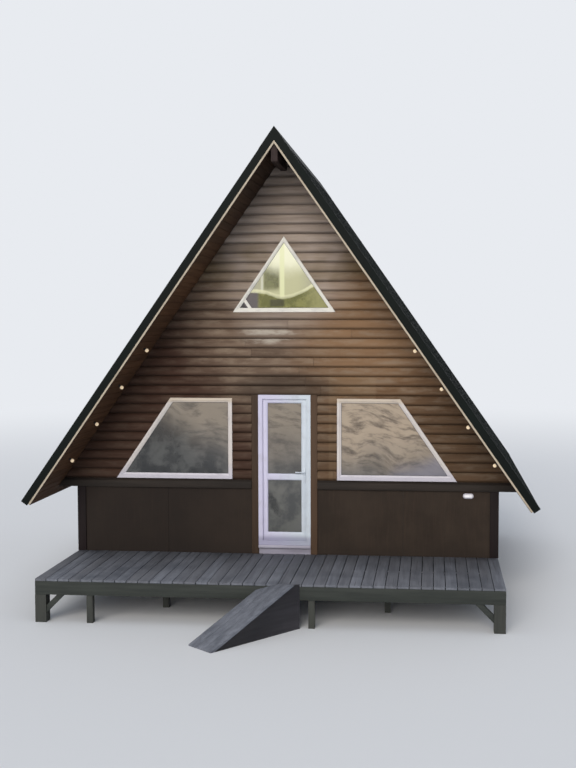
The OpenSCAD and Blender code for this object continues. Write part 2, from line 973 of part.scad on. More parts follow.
module back_window_frames() {
    color("white") {
        both_sides()
            window_frame(window_pts, window_faces, back_frame_y);
        window_frame(attic_pts, attic_faces, back_frame_y);
    }
}

module back_window_glass() {
    color("lightblue") {
        both_sides()
            window_pane(window_pts, window_faces, back_frame_y);
        window_pane(attic_pts, attic_faces, back_frame_y);
    }
}

// Ledger on the house, middle beam and front beam of the deck
module deck_beams() {
    inner = deck_w / 2 - deck_beam_t;
    color("olive") {
        block([-deck_w / 2, front_y - deck_beam_t, deck_beam_base], [deck_w / 2, front_y, deck_under]);
        block([-inner, mid_beam_y - deck_beam_t / 2, deck_beam_base],
            [inner, mid_beam_y + deck_beam_t / 2, deck_under]);
        block([-deck_w / 2, deck_front_y, deck_beam_base],
            [deck_w / 2, deck_front_y + front_beam_t, deck_under]);
    }
}

module deck_rim_joists() {
    color("olivedrab")
        both_sides()
            block([deck_w / 2 - deck_beam_t, deck_front_y + front_beam_t, deck_beam_base],
                [deck_w / 2, front_y - deck_beam_t, deck_under]);
}

// Knee braces between the corner posts and the front beam
module deck_braces() {
    x0 = -deck_w / 2 + corner_post_s;
    cut = brace_w * sqrt(2);
    inset_y = (front_beam_t - brace_w) / 2;
    color("olive")
        both_sides()
            upright([
                [x0, deck_beam_base - brace_reach],
                [x0 + brace_reach, deck_beam_base],
                [x0 + brace_reach - cut, deck_beam_base],
                [x0, deck_beam_base - brace_reach + cut]
            ], deck_front_y + inset_y, deck_front_y + front_beam_t - inset_y);
}

// Boards of the deck, running from the wall to the front edge
module deck_boards() {
    n = round((deck_w + deck_board_gap) / (deck_board_w + deck_board_gap));
    pitch = (deck_w + deck_board_gap) / n;
    color("gray")
        for (i = [0:n - 1])
            translate([-deck_w / 2 + i * pitch, deck_front_y, deck_under])
                cube([pitch - deck_board_gap, deck_d - deck_board_gap, deck_board_t]);
}

// Ramp pieces turned into place and cut off along the front of the deck
module ramp_place() {
    intersection() {
        translate([ramp_x, deck_front_y, 0])
            rotate([0, 0, -ramp_skew])
                children();
        block([-house_w, deck_front_y - 2 * ramp_run, 0], [house_w, deck_front_y, deck_h]);
    }
}
ramp_plank_v = ramp_plank_t / cos(ramp_slope);

// Planks side by side down the ramp, with a blunt end on the ground
module ramp_planks() {
    pitch = (ramp_w + ramp_plank_gap) / ramp_planks_n;
    back = ramp_w;
    color("gray")
        ramp_place()
            for (i = [0:ramp_planks_n - 1])
                translate([-ramp_w / 2 + i * pitch + pitch - ramp_plank_gap, 0, 0])
                    rotate([90, 0, -90])
                        linear_extrude(pitch - ramp_plank_gap)
                            polygon([
                                [-back, deck_h + back * ramp_tan],
                                [-back, deck_h + back * ramp_tan - ramp_plank_v],
                                [ramp_run - ramp_plank_v / ramp_tan, 0],
                                [ramp_run - ramp_toe / ramp_tan, 0],
                                [ramp_run - ramp_toe / ramp_tan, ramp_toe]
                            ]);
}

// Closed sides of the ramp with battens between them under the planks
module ramp_frame() {
    back = ramp_w;
    top = deck_h - ramp_plank_v - fit;
    foot = ramp_run - ramp_plank_v / ramp_tan;
    color("darkolivegreen")
        ramp_place() {
            for (x = [-ramp_w / 2, ramp_w / 2 - ramp_side_t])
                translate([x + ramp_side_t, 0, 0])
                    rotate([90, 0, -90])
                        linear_extrude(ramp_side_t)
                            polygon([[-back, top + back * ramp_tan], [-back, 0], [foot, 0]]);
            for (t = [0.15, 0.5, 0.8])
                translate([ramp_w / 2, 0, 0])
                    rotate([90, 0, -90])
                        linear_extrude(ramp_w)
                            polygon([
                                [foot * t, top - foot * t * ramp_tan],
                                [foot * t, top - foot * t * ramp_tan - ramp_plank_t],
                                [foot * t + ramp_side_t, top - foot * t * ramp_tan - ramp_plank_t],
                                [foot * t + ramp_side_t, top - (foot * t + ramp_side_t) * ramp_tan]
                            ]);
        }
}

// Oval slab, standing on a wall: overall width, overall height and depth
module oval(w, h, d) {
    rotate([90, 0, 0])
        linear_extrude(d)
            union() {
                square([w - h, h], center = true);
                for (side = [-1, 1])
                    translate([side * (w - h) / 2, 0])
                        circle(h / 2);
            }
}

// Bulkhead lamp: back plate, lens and rim
module wall_lamp() {
    color("white")
        translate([house_w / 2 - lamp_in, front_y, ledge_h - lamp_drop]) {
            oval(lamp_w, lamp_tall, lamp_plate_t);
            oval(lamp_w - 2 * lamp_rim, lamp_tall - 2 * lamp_rim, lamp_d);
        }
}

// Bulbs hung from the lining close to the front rake
module rake_bulbs() {
    color("ivory")
        both_sides()
            for (i = [0:bulbs_per_side - 1])
                translate([0, roof_front_y + edge_t + bulb_in, bearing_apex])
                    rotate([0, roof_slope, 0])
                        translate([slope_len - bulb_first - i * bulb_pitch, 0, 0]) {
                            translate([0, 0, -bulb_socket_h])
                                cylinder(r = bulb_r * 0.6, h = bulb_socket_h);
                            translate([0, 0, -bulb_socket_h - bulb_r * 0.7])
                                sphere(r = bulb_r);
                        }
}

foundation_posts();
bearers();
floor_joists();
ground_floor();
front_wall_left();
front_wall_right();
front_wall_over_door();
back_wall();
low_end_walls();
side_walls();
band_boards();
wall_trim_boards();
door_sill();
door_frame();
frame_hinges();
door_leaf();
door_glass();
door_hinges();
door_handle();
loft_joists();
loft_floor();
ridge_beam();
rafters();
roof_lining_left();
roof_lining_right();
roof_boarding_left();
roof_boarding_right();
roof_sheet_left();
roof_sheet_right();
ridge_cap();
rake_board_left();
rake_board_right();
rake_flashing_left();
rake_flashing_right();
eave_boards();
eave_soffits();
front_window_frames();
attic_window_frame();
front_window_glass();
back_window_frames();
back_window_glass();
deck_beams();
deck_rim_joists();
deck_braces();
deck_boards();
ramp_planks();
ramp_frame();
wall_lamp();
rake_bulbs();
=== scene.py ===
import math

import bmesh
import bpy
import numpy as np
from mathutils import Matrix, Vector


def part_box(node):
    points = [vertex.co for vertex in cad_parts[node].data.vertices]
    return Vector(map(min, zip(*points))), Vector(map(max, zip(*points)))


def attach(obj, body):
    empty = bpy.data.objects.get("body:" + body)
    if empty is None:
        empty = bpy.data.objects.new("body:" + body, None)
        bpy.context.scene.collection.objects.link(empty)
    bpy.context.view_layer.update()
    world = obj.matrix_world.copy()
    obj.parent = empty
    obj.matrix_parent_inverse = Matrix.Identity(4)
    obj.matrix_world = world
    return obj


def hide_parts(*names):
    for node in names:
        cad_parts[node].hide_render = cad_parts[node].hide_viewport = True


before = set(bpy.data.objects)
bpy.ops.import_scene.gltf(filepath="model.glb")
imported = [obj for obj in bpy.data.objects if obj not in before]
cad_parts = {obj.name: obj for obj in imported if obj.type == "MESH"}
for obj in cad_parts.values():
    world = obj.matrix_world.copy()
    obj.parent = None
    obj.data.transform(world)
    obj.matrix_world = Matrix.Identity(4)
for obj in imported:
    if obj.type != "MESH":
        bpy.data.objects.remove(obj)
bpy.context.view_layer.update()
draw = np.random.default_rng(54)


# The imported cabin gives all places: two gable walls, one roof slope and one ridge line.
# Everything below is built on these faces and lines.
def corners(node):
    """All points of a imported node, as rows of x, y and z."""
    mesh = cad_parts[node].data
    flat = np.empty(len(mesh.vertices) * 3, np.float32)
    mesh.vertices.foreach_get("co", flat)
    return flat.reshape(-1, 3).astype(float)


def over_lining(points):
    """How far points of the right slope stand over its lining, along the slope's upright axis."""
    return points[:, 0] * slope_sin + (points[:, 2] - apex_z) * slope_cos


front_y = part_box("front_wall_left")[0].y
back_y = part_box("back_wall")[1].y
lining = corners("roof_lining_right")
apex_z = lining[lining[:, 0] < 0.001, 2].min()
ledge_z, ledge_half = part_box("back_wall")[0].z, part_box("back_wall")[1].x
slope = math.atan2(apex_z - ledge_z, ledge_half)
slope_cos, slope_sin = math.cos(slope), math.sin(slope)
slope_len = ((lining[:, 0] * slope_cos) + (apex_z - lining[:, 2]) * slope_sin).max()
roof_front_y, roof_back_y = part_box("rake_flashing_right")[0].y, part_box("rake_flashing_right")[1].y


def half_at(z):
    """Half width under the roof lining at height z: the drop from the apex over the slope's tangent."""
    return (apex_z - z) * slope_cos / slope_sin


def on_slope(u, n, y, side):
    """Points u down one roof slope and n above its lining: both measured along the turned slope axes."""
    u, n, y = np.broadcast_arrays(u, n, y)
    x = side * (u * slope_cos + n * slope_sin)
    return np.stack([x, y, apex_z - u * slope_sin + n * slope_cos], -1)


# Studio: the photograph's viewpoint, right of the middle and above the deck, on a pale floor.
# A soft lamp from the front, a little from the left, and a pale sky show colours about as written.
def paint(red, green, blue):
    """Colour given as display bytes, turned into the linear values that shaders use."""
    share = np.array([red, green, blue]) / 255.0
    linear = np.where(share <= 0.04045, share / 12.92, ((share + 0.055) / 1.055) ** 2.4)
    return (*linear.tolist(), 1.0)


def operator(operation, turned=False):
    """Operator of values: one Math node over the two, which are taken the other way round if turned."""
    if turned:
        return lambda value, other: value.finish.math(operation, other, value)
    return lambda value, other: value.finish.math(operation, value, other)


class Value:
    """A socket in a finish. Sums, products and powers of values add Math nodes on either side."""

    def __init__(self, finish, socket):
        self.finish = finish
        self.socket = socket

    __add__ = __radd__ = operator("ADD")
    __sub__, __rsub__ = operator("SUBTRACT"), operator("SUBTRACT", turned=True)
    __mul__ = __rmul__ = operator("MULTIPLY")
    __truediv__ = operator("DIVIDE")
    __pow__ = operator("POWER")

    def above(self, low, high):
        """0 below low, 1 above high and a smooth step between them."""
        settings = {"interpolation_type": "SMOOTHSTEP"}
        return self.finish.node("MapRange", settings, {0: self, 1: low, 2: high})

    def between(self, low, high, soft):
        """1 from low to high and 0 outside, over a smooth step of twice soft at either end."""
        return self.above(low - soft, low + soft) * (1 - self.above(high - soft, high + soft))


class Finish:
    """One procedural material: a node-making method and the patterns that the cabin's pieces share."""

    def __init__(self, name, tree=None):
        if tree is None:
            self.material = bpy.data.materials.new(name)
            self.material.use_nodes = True
            tree = self.material.node_tree
        self.tree = tree
        self.tree.nodes.clear()
        self.turn = None

    def node(self, kind, settings=None, sockets=None, output=0):
        """Adds a node: its settings, then its sockets' links, colours as display bytes, or numbers."""
        made = self.tree.nodes.new("ShaderNode" + kind)
        for name, setting in (settings or {}).items():
            setattr(made, name, setting)
        for key, value in (sockets or {}).items():
            if isinstance(value, Value):
                self.tree.links.new(value.socket, made.inputs[key])
            elif made.inputs[key].type == "RGBA":
                made.inputs[key].default_value = paint(*value)
            else:
                made.inputs[key].default_value = value
        return Value(self, made.outputs[output]) if len(made.outputs) else None

    def math(self, operation, *values):
        """One Math node over values or numbers."""
        return self.node("Math", {"operation": operation}, dict(enumerate(values)))

    def place(self):
        """The point on the piece, in metres, turned about the upright where the piece lies askew."""
        place = self.node("TexCoord", output="Object")
        if self.turn is None:
            return place
        settings = {"rotation_type": "Z_AXIS", "invert": True}
        return self.node("VectorRotate", settings, {"Vector": place, "Angle": self.turn})

    def axes(self):
        """The three coordinates of that point as values."""
        place = self.place()
        return [self.node("SeparateXYZ", {}, {0: place}, axis) for axis in "XYZ"]

    def stretched(self, across, shift=None):
        """The point scaled by three factors, and moved far away by a value that differs per board."""
        scaled = self.node("VectorMath", {"operation": "MULTIPLY"}, {0: self.place(), 1: across})
        if shift is None:
            return scaled
        moved = self.node("CombineXYZ", {}, {0: shift * 17.0, 1: shift * 29.0, 2: shift * 41.0})
        return self.node("VectorMath", {"operation": "ADD"}, {0: scaled, 1: moved})

    def noise(self, scale, detail, roughness, place=None):
        """Noise around a half, over the point on the piece or over another one."""
        sockets = {"Vector": place or self.place(), "Scale": scale, "Detail": detail}
        return self.node("TexNoise", {}, {**sockets, "Roughness": roughness})

    def tone(self):
        """The random tone that the faces of each board carry."""
        return self.node("Attribute", {"attribute_name": "tone"}, output="Fac")

    def mix(self, share, first, second):
        """Colour between two colours, by a share from 0 to 1."""
        return self.node("Mix", {"data_type": "RGBA"}, {0: share, 6: first, 7: second}, output=2)

    def coats(self, colour, *coats):
        """The colour with coats laid over it in turn: a share from 0 to 1 and a colour for each."""
        for share, coat in coats:
            colour = self.mix(share, colour, coat)
        return colour

    def boards(self, across, pitch, gap):
        """Boards of one pitch: a random tone for each, and a groove of the given width, 1 in the joint."""
        steps = across / pitch
        settings = {"noise_dimensions": "1D"}
        tone = self.node("TexWhiteNoise", settings, {"W": self.math("FLOOR", steps)})
        edge = self.math("PINGPONG", self.math("FRACT", steps), 0.5)
        share = gap / pitch / 2
        return tone, 1 - edge.above(share * 0.5, share * 1.5)

    def grain(self, along, shift=None):
        """Wood grain from 0 to 1: growth bands and finer fibres, noise drawn out along one axis."""
        layers = []
        for across, lengthwise, detail in ((9.0, 0.55, 4.0), (60.0, 2.2, 3.0)):
            factors = [across, across, across]
            factors[along] = lengthwise
            layers.append(self.noise(2.0, detail, 0.6, self.stretched(factors, shift)))
        return layers[0].above(0.25, 0.75) * 0.6 + layers[1] * 0.4

    def surface(self, colour, roughness, height=None, depth=0.001, extra=None):
        """Principled surface, with any extra sockets. The height, from 0 to 1, stands proud by depth."""
        sockets = {"Base Color": colour, "Roughness": roughness, **(extra or {})}
        if height is not None:
            sockets["Normal"] = self.node("Bump", {}, {"Height": height, "Distance": depth})
        shader = self.node("BsdfPrincipled", {}, sockets)
        self.node("OutputMaterial", {}, {"Surface": shader})
        return self.material


scene = bpy.context.scene
scene.view_settings.view_transform = "Standard"


def placed(name, data):
    """Object of a camera, a lamp or a mesh, in the scene."""
    made = bpy.data.objects.new(name, data)
    scene.collection.objects.link(made)
    return made


eye, aim = Vector((2.1, -16.0, 3.9)), Vector((0.75, -0.9, 3.0))
camera = placed("camera", bpy.data.cameras.new("camera"))
camera.location = eye
camera.rotation_euler = (aim - eye).to_track_quat("-Z", "Y").to_euler()
camera.data.lens = 50.0
camera.data.shift_x = -0.065
scene.camera = camera

key = placed("key", bpy.data.lights.new("key", "SUN"))
key.data.energy = 2.3
key.data.angle = math.radians(40)
key.data.color = (1.0, 0.94, 0.86)
key.rotation_euler = (math.radians(66), 0, math.radians(-9))
pale = (232, 235, 240)


def seen_directly(finish):
    """1 for rays that show the background itself: seen, mirrored or through glass."""
    rays = [
        finish.node("LightPath", output=name)
        for name in ("Is Camera Ray", "Is Glossy Ray", "Is Transmission Ray")
    ]
    return (rays[0] + rays[1] + rays[2]).above(0.4, 0.6)


world = bpy.data.worlds.new("studio_sky")
world.use_nodes = True
scene.world = world
sky = Finish("studio_sky", world.node_tree)
upward = sky.node("SeparateXYZ", {}, {0: sky.node("TexCoord", output="Generated")}, "Z")
dome = sky.mix(upward.above(-0.2, 0.9), (120, 130, 150), (240, 246, 255))
lighting = sky.node("Background", {}, {"Color": dome, "Strength": 0.7})
backdrop = sky.node("Background", {}, {"Color": pale, "Strength": 1.0})
both = sky.node("MixShader", {}, {0: seen_directly(sky), 1: lighting, 2: backdrop})
sky.node("OutputWorld", {}, {"Surface": both})

ground = Finish("studio_floor")
ground_x, ground_y = ground.axes()[:2]
far = ((ground_x * ground_x + ground_y * ground_y) ** 0.5).above(9.0, 34.0)
matt = ground.node("BsdfDiffuse", {}, {"Color": (224, 226, 229)})
horizon = ground.node("Emission", {}, {"Color": pale, "Strength": 1.0})
both = ground.node("MixShader", {}, {0: far * seen_directly(ground), 1: matt, 2: horizon})
ground.node("OutputMaterial", {}, {"Surface": both})
floor_reach = 60.0
floor_mesh = bpy.data.meshes.new("studio_floor")
floor_corners = [(-1, -1, 0), (1, -1, 0), (1, 1, 0), (-1, 1, 0)]
floor_mesh.from_pydata((np.array(floor_corners) * floor_reach).tolist(), [], [range(4)])
floor_mesh.materials.append(ground.material)
floor = placed("studio_floor", floor_mesh)


# Posts, bearers and joists: sawn softwood with its grain along the piece, standing on the ground.
# They carry the house and are seen only under the deck, at the sides and through the windows.
def timber(name, along, dark, light, roughness=0.75):
    """Sawn timber: grain between two colours, blotches half a metre wide, and the grain as relief."""
    finish = Finish(name)
    grain = finish.grain(along)
    blotch = finish.noise(2.3, 4.0, 0.6).above(0.3, 0.8)
    colour = finish.mix(grain, dark, light)
    colour = finish.mix(blotch * 0.35, colour, dark)
    return finish.surface(colour, roughness - 0.15 * grain, grain, 0.0008)


def dress(material, *nodes):
    """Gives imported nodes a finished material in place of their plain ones."""
    for node in nodes:
        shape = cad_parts[node]
        if not shape.material_slots:
            shape.data.materials.append(material)
        for slot in shape.material_slots:
            slot.material = material


dress(timber("post_timber", 2, (26, 29, 27), (52, 55, 49)), "foundation_posts")
dress(timber("bearer_timber", 1, (34, 30, 25), (62, 55, 45)), "bearers")
joist_timber = timber("joist_timber", 0, (110, 84, 56), (160, 130, 94))
dress(joist_timber, "floor_joists", "loft_joists")


# Ground and loft floor: planed boards that run across the joists, from the front to the back.
# They show dimly through the door and the windows.
def floor_finish():
    """Boards by their place across the house, with a tone each and a dark joint between them."""
    finish = Finish("floor_boards")
    x = finish.axes()[0]
    tone, joint = finish.boards(x, 0.12, 0.004)
    grain = finish.grain(1, tone)
    wood = finish.mix(grain, (118, 86, 54), (168, 130, 88))
    colour = finish.coats(wood, (tone * 0.4, (104, 74, 46)), (joint, (30, 22, 15)))
    return finish.surface(colour, 0.5 + 0.2 * grain, grain * 0.2 - joint, 0.003)


dress(floor_finish(), "ground_floor", "loft_floor")


# Framed walls: solid plates here, lined inside with stained boards and covered outside by the siding.
# Their edges show in the window openings.
def wall_finish(name, dark, light, pitch):
    """Level boards by height, each with its own tone, and a narrow groove between them."""
    finish = Finish(name)
    height = finish.axes()[2]
    tone, joint = finish.boards(height, pitch, 0.005)
    grain = finish.grain(0, tone)
    wood = finish.mix(grain, dark, light)
    colour = finish.coats(wood, (tone * 0.35, dark), (joint, (18, 13, 9)))
    return finish.surface(colour, 0.62, grain * 0.3 - joint, 0.003)


wall_boards = wall_finish("wall_boards", (66, 47, 34), (98, 74, 54), 0.134)
dress(wall_boards, "front_wall_left", "front_wall_right", "front_wall_over_door", "back_wall")
low_wall_boards = wall_finish("low_wall_boards", (24, 18, 14), (38, 29, 22), 0.12)
dress(low_wall_boards, "low_end_walls", "side_walls")


# Siding of both gables: level boards with a rounded face, like slim half logs, nailed over the wall
# from the ledge up to the roof. Lengths of two to three metres meet in butt joints.
def closed(name, shapes):
    """Mesh of shapes, each given as points, faces and, for a board, a tone that its faces carry.

    Faces are moved on by the points before them. Doubled points are merged, and faces turn outwards."""
    starts = np.cumsum([0] + [len(shape[0]) for shape in shapes])
    faces = [[start + i for i in face] for shape, start in zip(shapes, starts) for face in shape[1]]
    mesh = bpy.data.meshes.new(name)
    mesh.from_pydata(np.concatenate([shape[0] for shape in shapes]).tolist(), [], faces)
    if len(shapes[0]) > 2:
        layer = mesh.attributes.new("tone", "FLOAT", "FACE")
        tones = [shape[2] for shape in shapes for face in shape[1]]
        layer.data.foreach_set("value", np.asarray(tones, np.float32))
    shell = bmesh.new()
    shell.from_mesh(mesh)
    bmesh.ops.remove_doubles(shell, verts=shell.verts, dist=1e-6)
    bmesh.ops.recalc_face_normals(shell, faces=shell.faces)
    shell.to_mesh(mesh)
    shell.free()
    return mesh


def finished(name, mesh, material, body, stands_for, smooth):
    """Piece of a mesh in one material, riding on a body. Edges over the smooth angle stay sharp."""
    mesh.materials.append(material)
    if smooth is not None:
        mesh.shade_smooth()
        mesh.set_sharp_from_angle(angle=math.radians(smooth))
    piece = placed(name, mesh)
    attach(piece, body)
    if stands_for:
        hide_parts(*stands_for)
    return piece


def put(name, shapes, material, body="root", stands_for=(), smooth=None):
    """Makes a piece of shapes, at the origin, and gives it its material and body."""
    return finished(name, closed(name, shapes), material, body, stands_for, smooth)


def carried(rings, loop=False):
    """Skin over a row of rings of points: a quad for each step along and around.

    The two end rings are closed by a face each or, with loop, joined to each other."""
    count, around = rings.shape[:2]
    i, j = np.meshgrid(np.arange(count if loop else count - 1), np.arange(around), indexing="ij")
    i1, j1 = (i + 1) % count, (j + 1) % around
    quads = np.stack([i * around + j, i * around + j1, i1 * around + j1, i1 * around + j], -1)
    faces = quads.reshape(-1, 4).tolist()
    if not loop:
        faces += [list(range(around)), list(range((count - 1) * around, count * around))]
    return rings.reshape(-1, 3), faces


def box_outline(left, low, right, high):
    """Outline of an upright rectangle in x and z, started at its lowest left corner."""
    return np.array([(left, low), (right, low), (right, high), (left, high)])


def prism(outline, low_y, high_y):
    """Level prism over an outline of x and z, between two depths."""
    outline = np.asarray(outline, float)
    return carried(np.stack([np.insert(outline, 1, y, axis=1) for y in (low_y, high_y)]))


course_h, course_joint = 0.134, 0.0006
siding_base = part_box("band_boards")[1].z
board_groove, board_rise, board_back = 0.002, 0.027, 0.0005
siding_gap, butt_gap, rest_min = 0.004, 0.0015, 0.7
top_gap, least_half = 0.05, 0.001
first_length, next_length = (0.9, 2.9), (1.9, 3.1)
siding_smooth = 35


def course(low_z, left, right, wall, out):
    """One board: over its height t from 0 to 1 the face stands out by groove + rise (1 - (2t - 1)^4).

    An end given as None is sawn to the roof slope, and any other end is upright at that x."""
    t = np.linspace(0.0, 1.0, 11)
    face = board_groove + board_rise * (1 - (2 * t - 1) ** 4)
    z = low_z + t * (course_h - course_joint)
    ring_z = np.concatenate([z, z[[-1, 0]]])
    ring_y = wall + out * np.concatenate([face, [board_back, board_back]])
    limit = np.maximum(half_at(ring_z) - siding_gap, least_half)
    ends = [-limit if left is None else np.full_like(ring_z, left)]
    ends.append(limit if right is None else np.full_like(ring_z, right))
    return carried(np.stack([np.stack([x, ring_y, ring_z], -1) for x in ends]))


def cladding(wall, out):
    """All boards of one gable, with a random tone for each."""
    boards = []
    for low_z in np.arange(siding_base, apex_z - top_gap, course_h):
        reach = half_at(low_z + course_h / 2)
        cuts = [None]
        at = -reach + draw.uniform(*first_length)
        while at < reach - rest_min:
            cuts.append(at)
            at += draw.uniform(*next_length)
        cuts.append(None)
        for left, right in zip(cuts[:-1], cuts[1:]):
            low = left if left is None else left + butt_gap
            high = right if right is None else right - butt_gap
            boards.append((*course(low_z, low, high, wall, out), draw.uniform()))
    return boards


def sawn(piece, cutters):
    """Takes the closed cutter shapes off the piece, and leaves a plain mesh and no modifier."""
    cutter = placed("cutter", closed("cutter", cutters))
    saw = piece.modifiers.new("saw", "BOOLEAN")
    saw.operation, saw.solver, saw.object = "DIFFERENCE", "EXACT", cutter
    view = bpy.context.evaluated_depsgraph_get()
    shaped = bpy.data.meshes.new_from_object(
        piece.evaluated_get(view), preserve_all_data_layers=True, depsgraph=view
    )
    piece.modifiers.remove(saw)
    piece.data = shaped
    bpy.data.objects.remove(cutter)


windows = corners("front_window_frames")
window_inner, window_outer = np.abs(windows[:, 0]).min(), np.abs(windows[:, 0]).max()
window_sill, window_head = windows[:, 2].min(), windows[:, 2].max()
window_top_outer = np.abs(windows[windows[:, 2] > window_head - 0.001, 0]).max()
attic = corners("attic_window_frame")
attic_half, attic_sill, attic_apex = attic[:, 0].max(), attic[:, 2].min(), attic[:, 2].max()
right_window = box_outline(window_inner, window_sill, window_outer, window_head)
right_window[2, 0] = window_top_outer
left_window = (right_window * (-1, 1))[::-1]
attic_window = np.array([(-attic_half, attic_sill), (attic_half, attic_sill), (0.0, attic_apex)])
door_low, door_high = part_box("door_frame")
trims = np.abs(corners("wall_trim_boards")[:, 0])
board_side = trims[trims < 1.0].max()
trim_w = board_side - door_high.x


def inset(outline, by):
    """Outline moved inwards, each side by its own distance: neighbouring moved lines are crossed."""
    start = np.asarray(outline, float)
    along = np.roll(start, -1, 0) - start
    along /= np.linalg.norm(along, axis=1)[:, None]
    moved = start + np.stack([-along[:, 1], along[:, 0]], 1) * np.broadcast_to(by, len(start))[:, None]
    from_line, from_along = np.roll(moved, 1, 0), np.roll(along, 1, 0)
    turn = from_along[:, 0] * along[:, 1] - from_along[:, 1] * along[:, 0]
    gap = moved - from_line
    reach = (gap[:, 0] * along[:, 1] - gap[:, 1] * along[:, 0]) / turn
    return from_line + from_along * reach[:, None]


def siding_finish():
    """Stained boards. Noise and smooth steps over x and z give painted light on the right and in a glow
    right of the middle, painted shade on the left, low down and above the door, and pale streaks in the
    middle; every board has painted shade at its foot and pale strokes of its own."""
    finish = Finish("siding_stain")
    x, y, z = finish.axes()

    def off(spot_x, spot_z, weight_x, weight_z):
        """Squared distance from a spot on the gable, with a weight for each direction."""
        return (x - spot_x) * (x - spot_x) * weight_x + (z - spot_z) * (z - spot_z) * weight_z

    tone = finish.tone()
    grain = finish.grain(0, tone)
    drift = finish.noise(0.9, 3.0, 0.6) - 0.5
    inside = finish.math("FRACT", (z - siding_base) / course_h)
    streak = finish.noise(1.5, 4.0, 0.6, finish.stretched((2.2, 2.2, 7.0), tone))
    # Painted light and shade: an orange lit right side, a bright glow right of the middle and a darker
    # shaded left.
    painted_light_right = (x + drift * 1.4 - (z - 4.0) * 0.2).above(-0.1, 1.2)
    painted_glow = 1 - (off(1.1, 3.75, 0.5, 1.1) + drift).above(0.1, 0.9)
    dark = (drift * 1.4 - x - (z - 3.3) * 0.7).above(0.5, 1.7)
    # Painted shade: darker low on the gable.
    low = (drift - (z - 1.95)).above(0.0, 0.8)
    grey = (1 - (off(0.0, 5.3, 0.9, 0.35) + drift).above(0.3, 1.4)) * 0.85
    moss = (drift + 0.5).above(0.42, 0.6) * z.between(4.4, 5.0, 0.15)
    strokes = streak.above(0.4, 0.7) * inside.above(0.2, 0.5) * (1 - dark * 0.8)
    patch = 1 - off(-0.22, 3.7, 2.6, 22.0).above(0.05, 0.7)
    # Pale streaks along the rows in the middle.
    pale_streaks = patch * inside.above(0.3, 0.6) * (streak + patch * 0.1).above(0.42, 0.7)
    board = x.between(0.635, 1.3, 0.015) * (1 - z.above(3.1, 3.15))
    # Painted shade: darker below the window heads, more on the right, and in a patch above the door.
    shade = (3.15 - z + drift * 0.4).above(0.0, 0.9) * (1 - dark * 0.8)
    painted_shade_head = 1 - off(0.0, 2.95, 1.2, 14.0).above(0.1, 1.0)
    # Painted shade: a dark band at the foot of every board.
    foot = 1 - inside.above(0.06, 0.34)
    colour = finish.coats(
        finish.mix(grain, (82, 66, 54), (124, 104, 88)),
        (painted_light_right * 0.95, finish.mix(grain, (86, 62, 42), (128, 98, 70))),
        (painted_glow * 0.4, (166, 132, 100)),
        (dark, finish.mix(grain, (50, 31, 22), (70, 47, 36))),
        (low * 0.55, (52, 38, 28)),
        (grey, finish.mix(grain, (134, 120, 110), (190, 176, 165))),
        (moss * 0.6, (108, 92, 60)),
        (strokes * 0.5, (150, 134, 116)),
        (pale_streaks * 0.6, (196, 190, 178)),
        (board * 0.25, (150, 126, 98)),
        (shade * (0.38 + 0.17 * x.above(1.2, 2.2)), (54, 42, 30)),
        (painted_shade_head * 0.65, (54, 44, 36)),
        (foot * 0.476, (18, 12, 8)),
        (tone * 0.2, (50, 36, 26)),
    )
    return finish.surface(colour, 0.8 - 0.15 * grain, grain, 0.0015, {"Specular IOR Level": 0.22})


siding_stain = siding_finish()
beam_low, beam_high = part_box("ridge_beam")
saw_gap, saw_in, saw_out, over_roof, under_door = 0.002, 0.02, 0.08, 7.0, 0.3

holes = [right_window, left_window, attic_window]
holes.append(box_outline(beam_low.x, beam_low.z, beam_high.x, over_roof))
for name, wall, out in (("siding_front", front_y, -1.0), ("siding_back", back_y, 1.0)):
    siding = put(name, cladding(wall, out), siding_stain, smooth=siding_smooth)
    near, far_y = sorted((wall - saw_in * out, wall + saw_out * out))
    cutters = [prism(inset(hole, -saw_gap), near, far_y) for hole in holes]
    if out < 0:
        side = board_side + saw_gap
        cutters.append(prism(box_outline(-side, under_door, side, door_high.z + saw_gap), near, far_y))
    sawn(siding, cutters)
    siding.data.set_sharp_from_angle(angle=math.radians(siding_smooth))


# Low wall under the ledge: smooth stained sheets, nailed on with a narrow joint between them.
# On the front they stand between the corner boards and the boards beside the door.
def sheet_finish():
    """Smooth dark stain: slow blotches, faint upright brush marks, a browner foot and painted shade on the
    left.
    """
    finish = Finish("sheet_stain")
    x, y, height = finish.axes()
    blotch = finish.noise(1.6, 4.0, 0.6).above(0.3, 0.75)
    brush = finish.noise(2.0, 3.0, 0.6, finish.stretched((22.0, 22.0, 1.4)))
    colour = finish.coats(
        finish.mix(blotch, (38, 29, 22), (50, 40, 32)),
        (brush.above(0.45, 0.75) * 0.3, (60, 46, 36)),
        ((1 - height.above(0.5, 0.85)) * 0.5, (30, 22, 18)),
        # Painted shade: the left side darker.
        ((1 - x.above(-1.6, 0.6)) * 0.6, (20, 13, 11)),
    )
    return finish.surface(colour, 0.75, brush, 0.0006, {"Specular IOR Level": 0.25})


sheet_t, sheet_joint, sheet_top = 0.009, 0.005, ledge_z
deck_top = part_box("deck_boards")[1].z
wall_low, wall_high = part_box("low_end_walls")
side_half = wall_high.x


def sheets(low, high, foot, out, wall, count):
    """A row of equal sheets on one wall face, between two ends, with joints between them."""
    marks = np.linspace(low, high, count + 1)
    shapes = []
    for left, right in zip(marks[:-1], marks[1:]):
        outline = box_outline(left + sheet_joint / 2, foot, right - sheet_joint / 2, sheet_top)
        shapes.append(prism(outline, wall, wall + out * sheet_t))
    return shapes


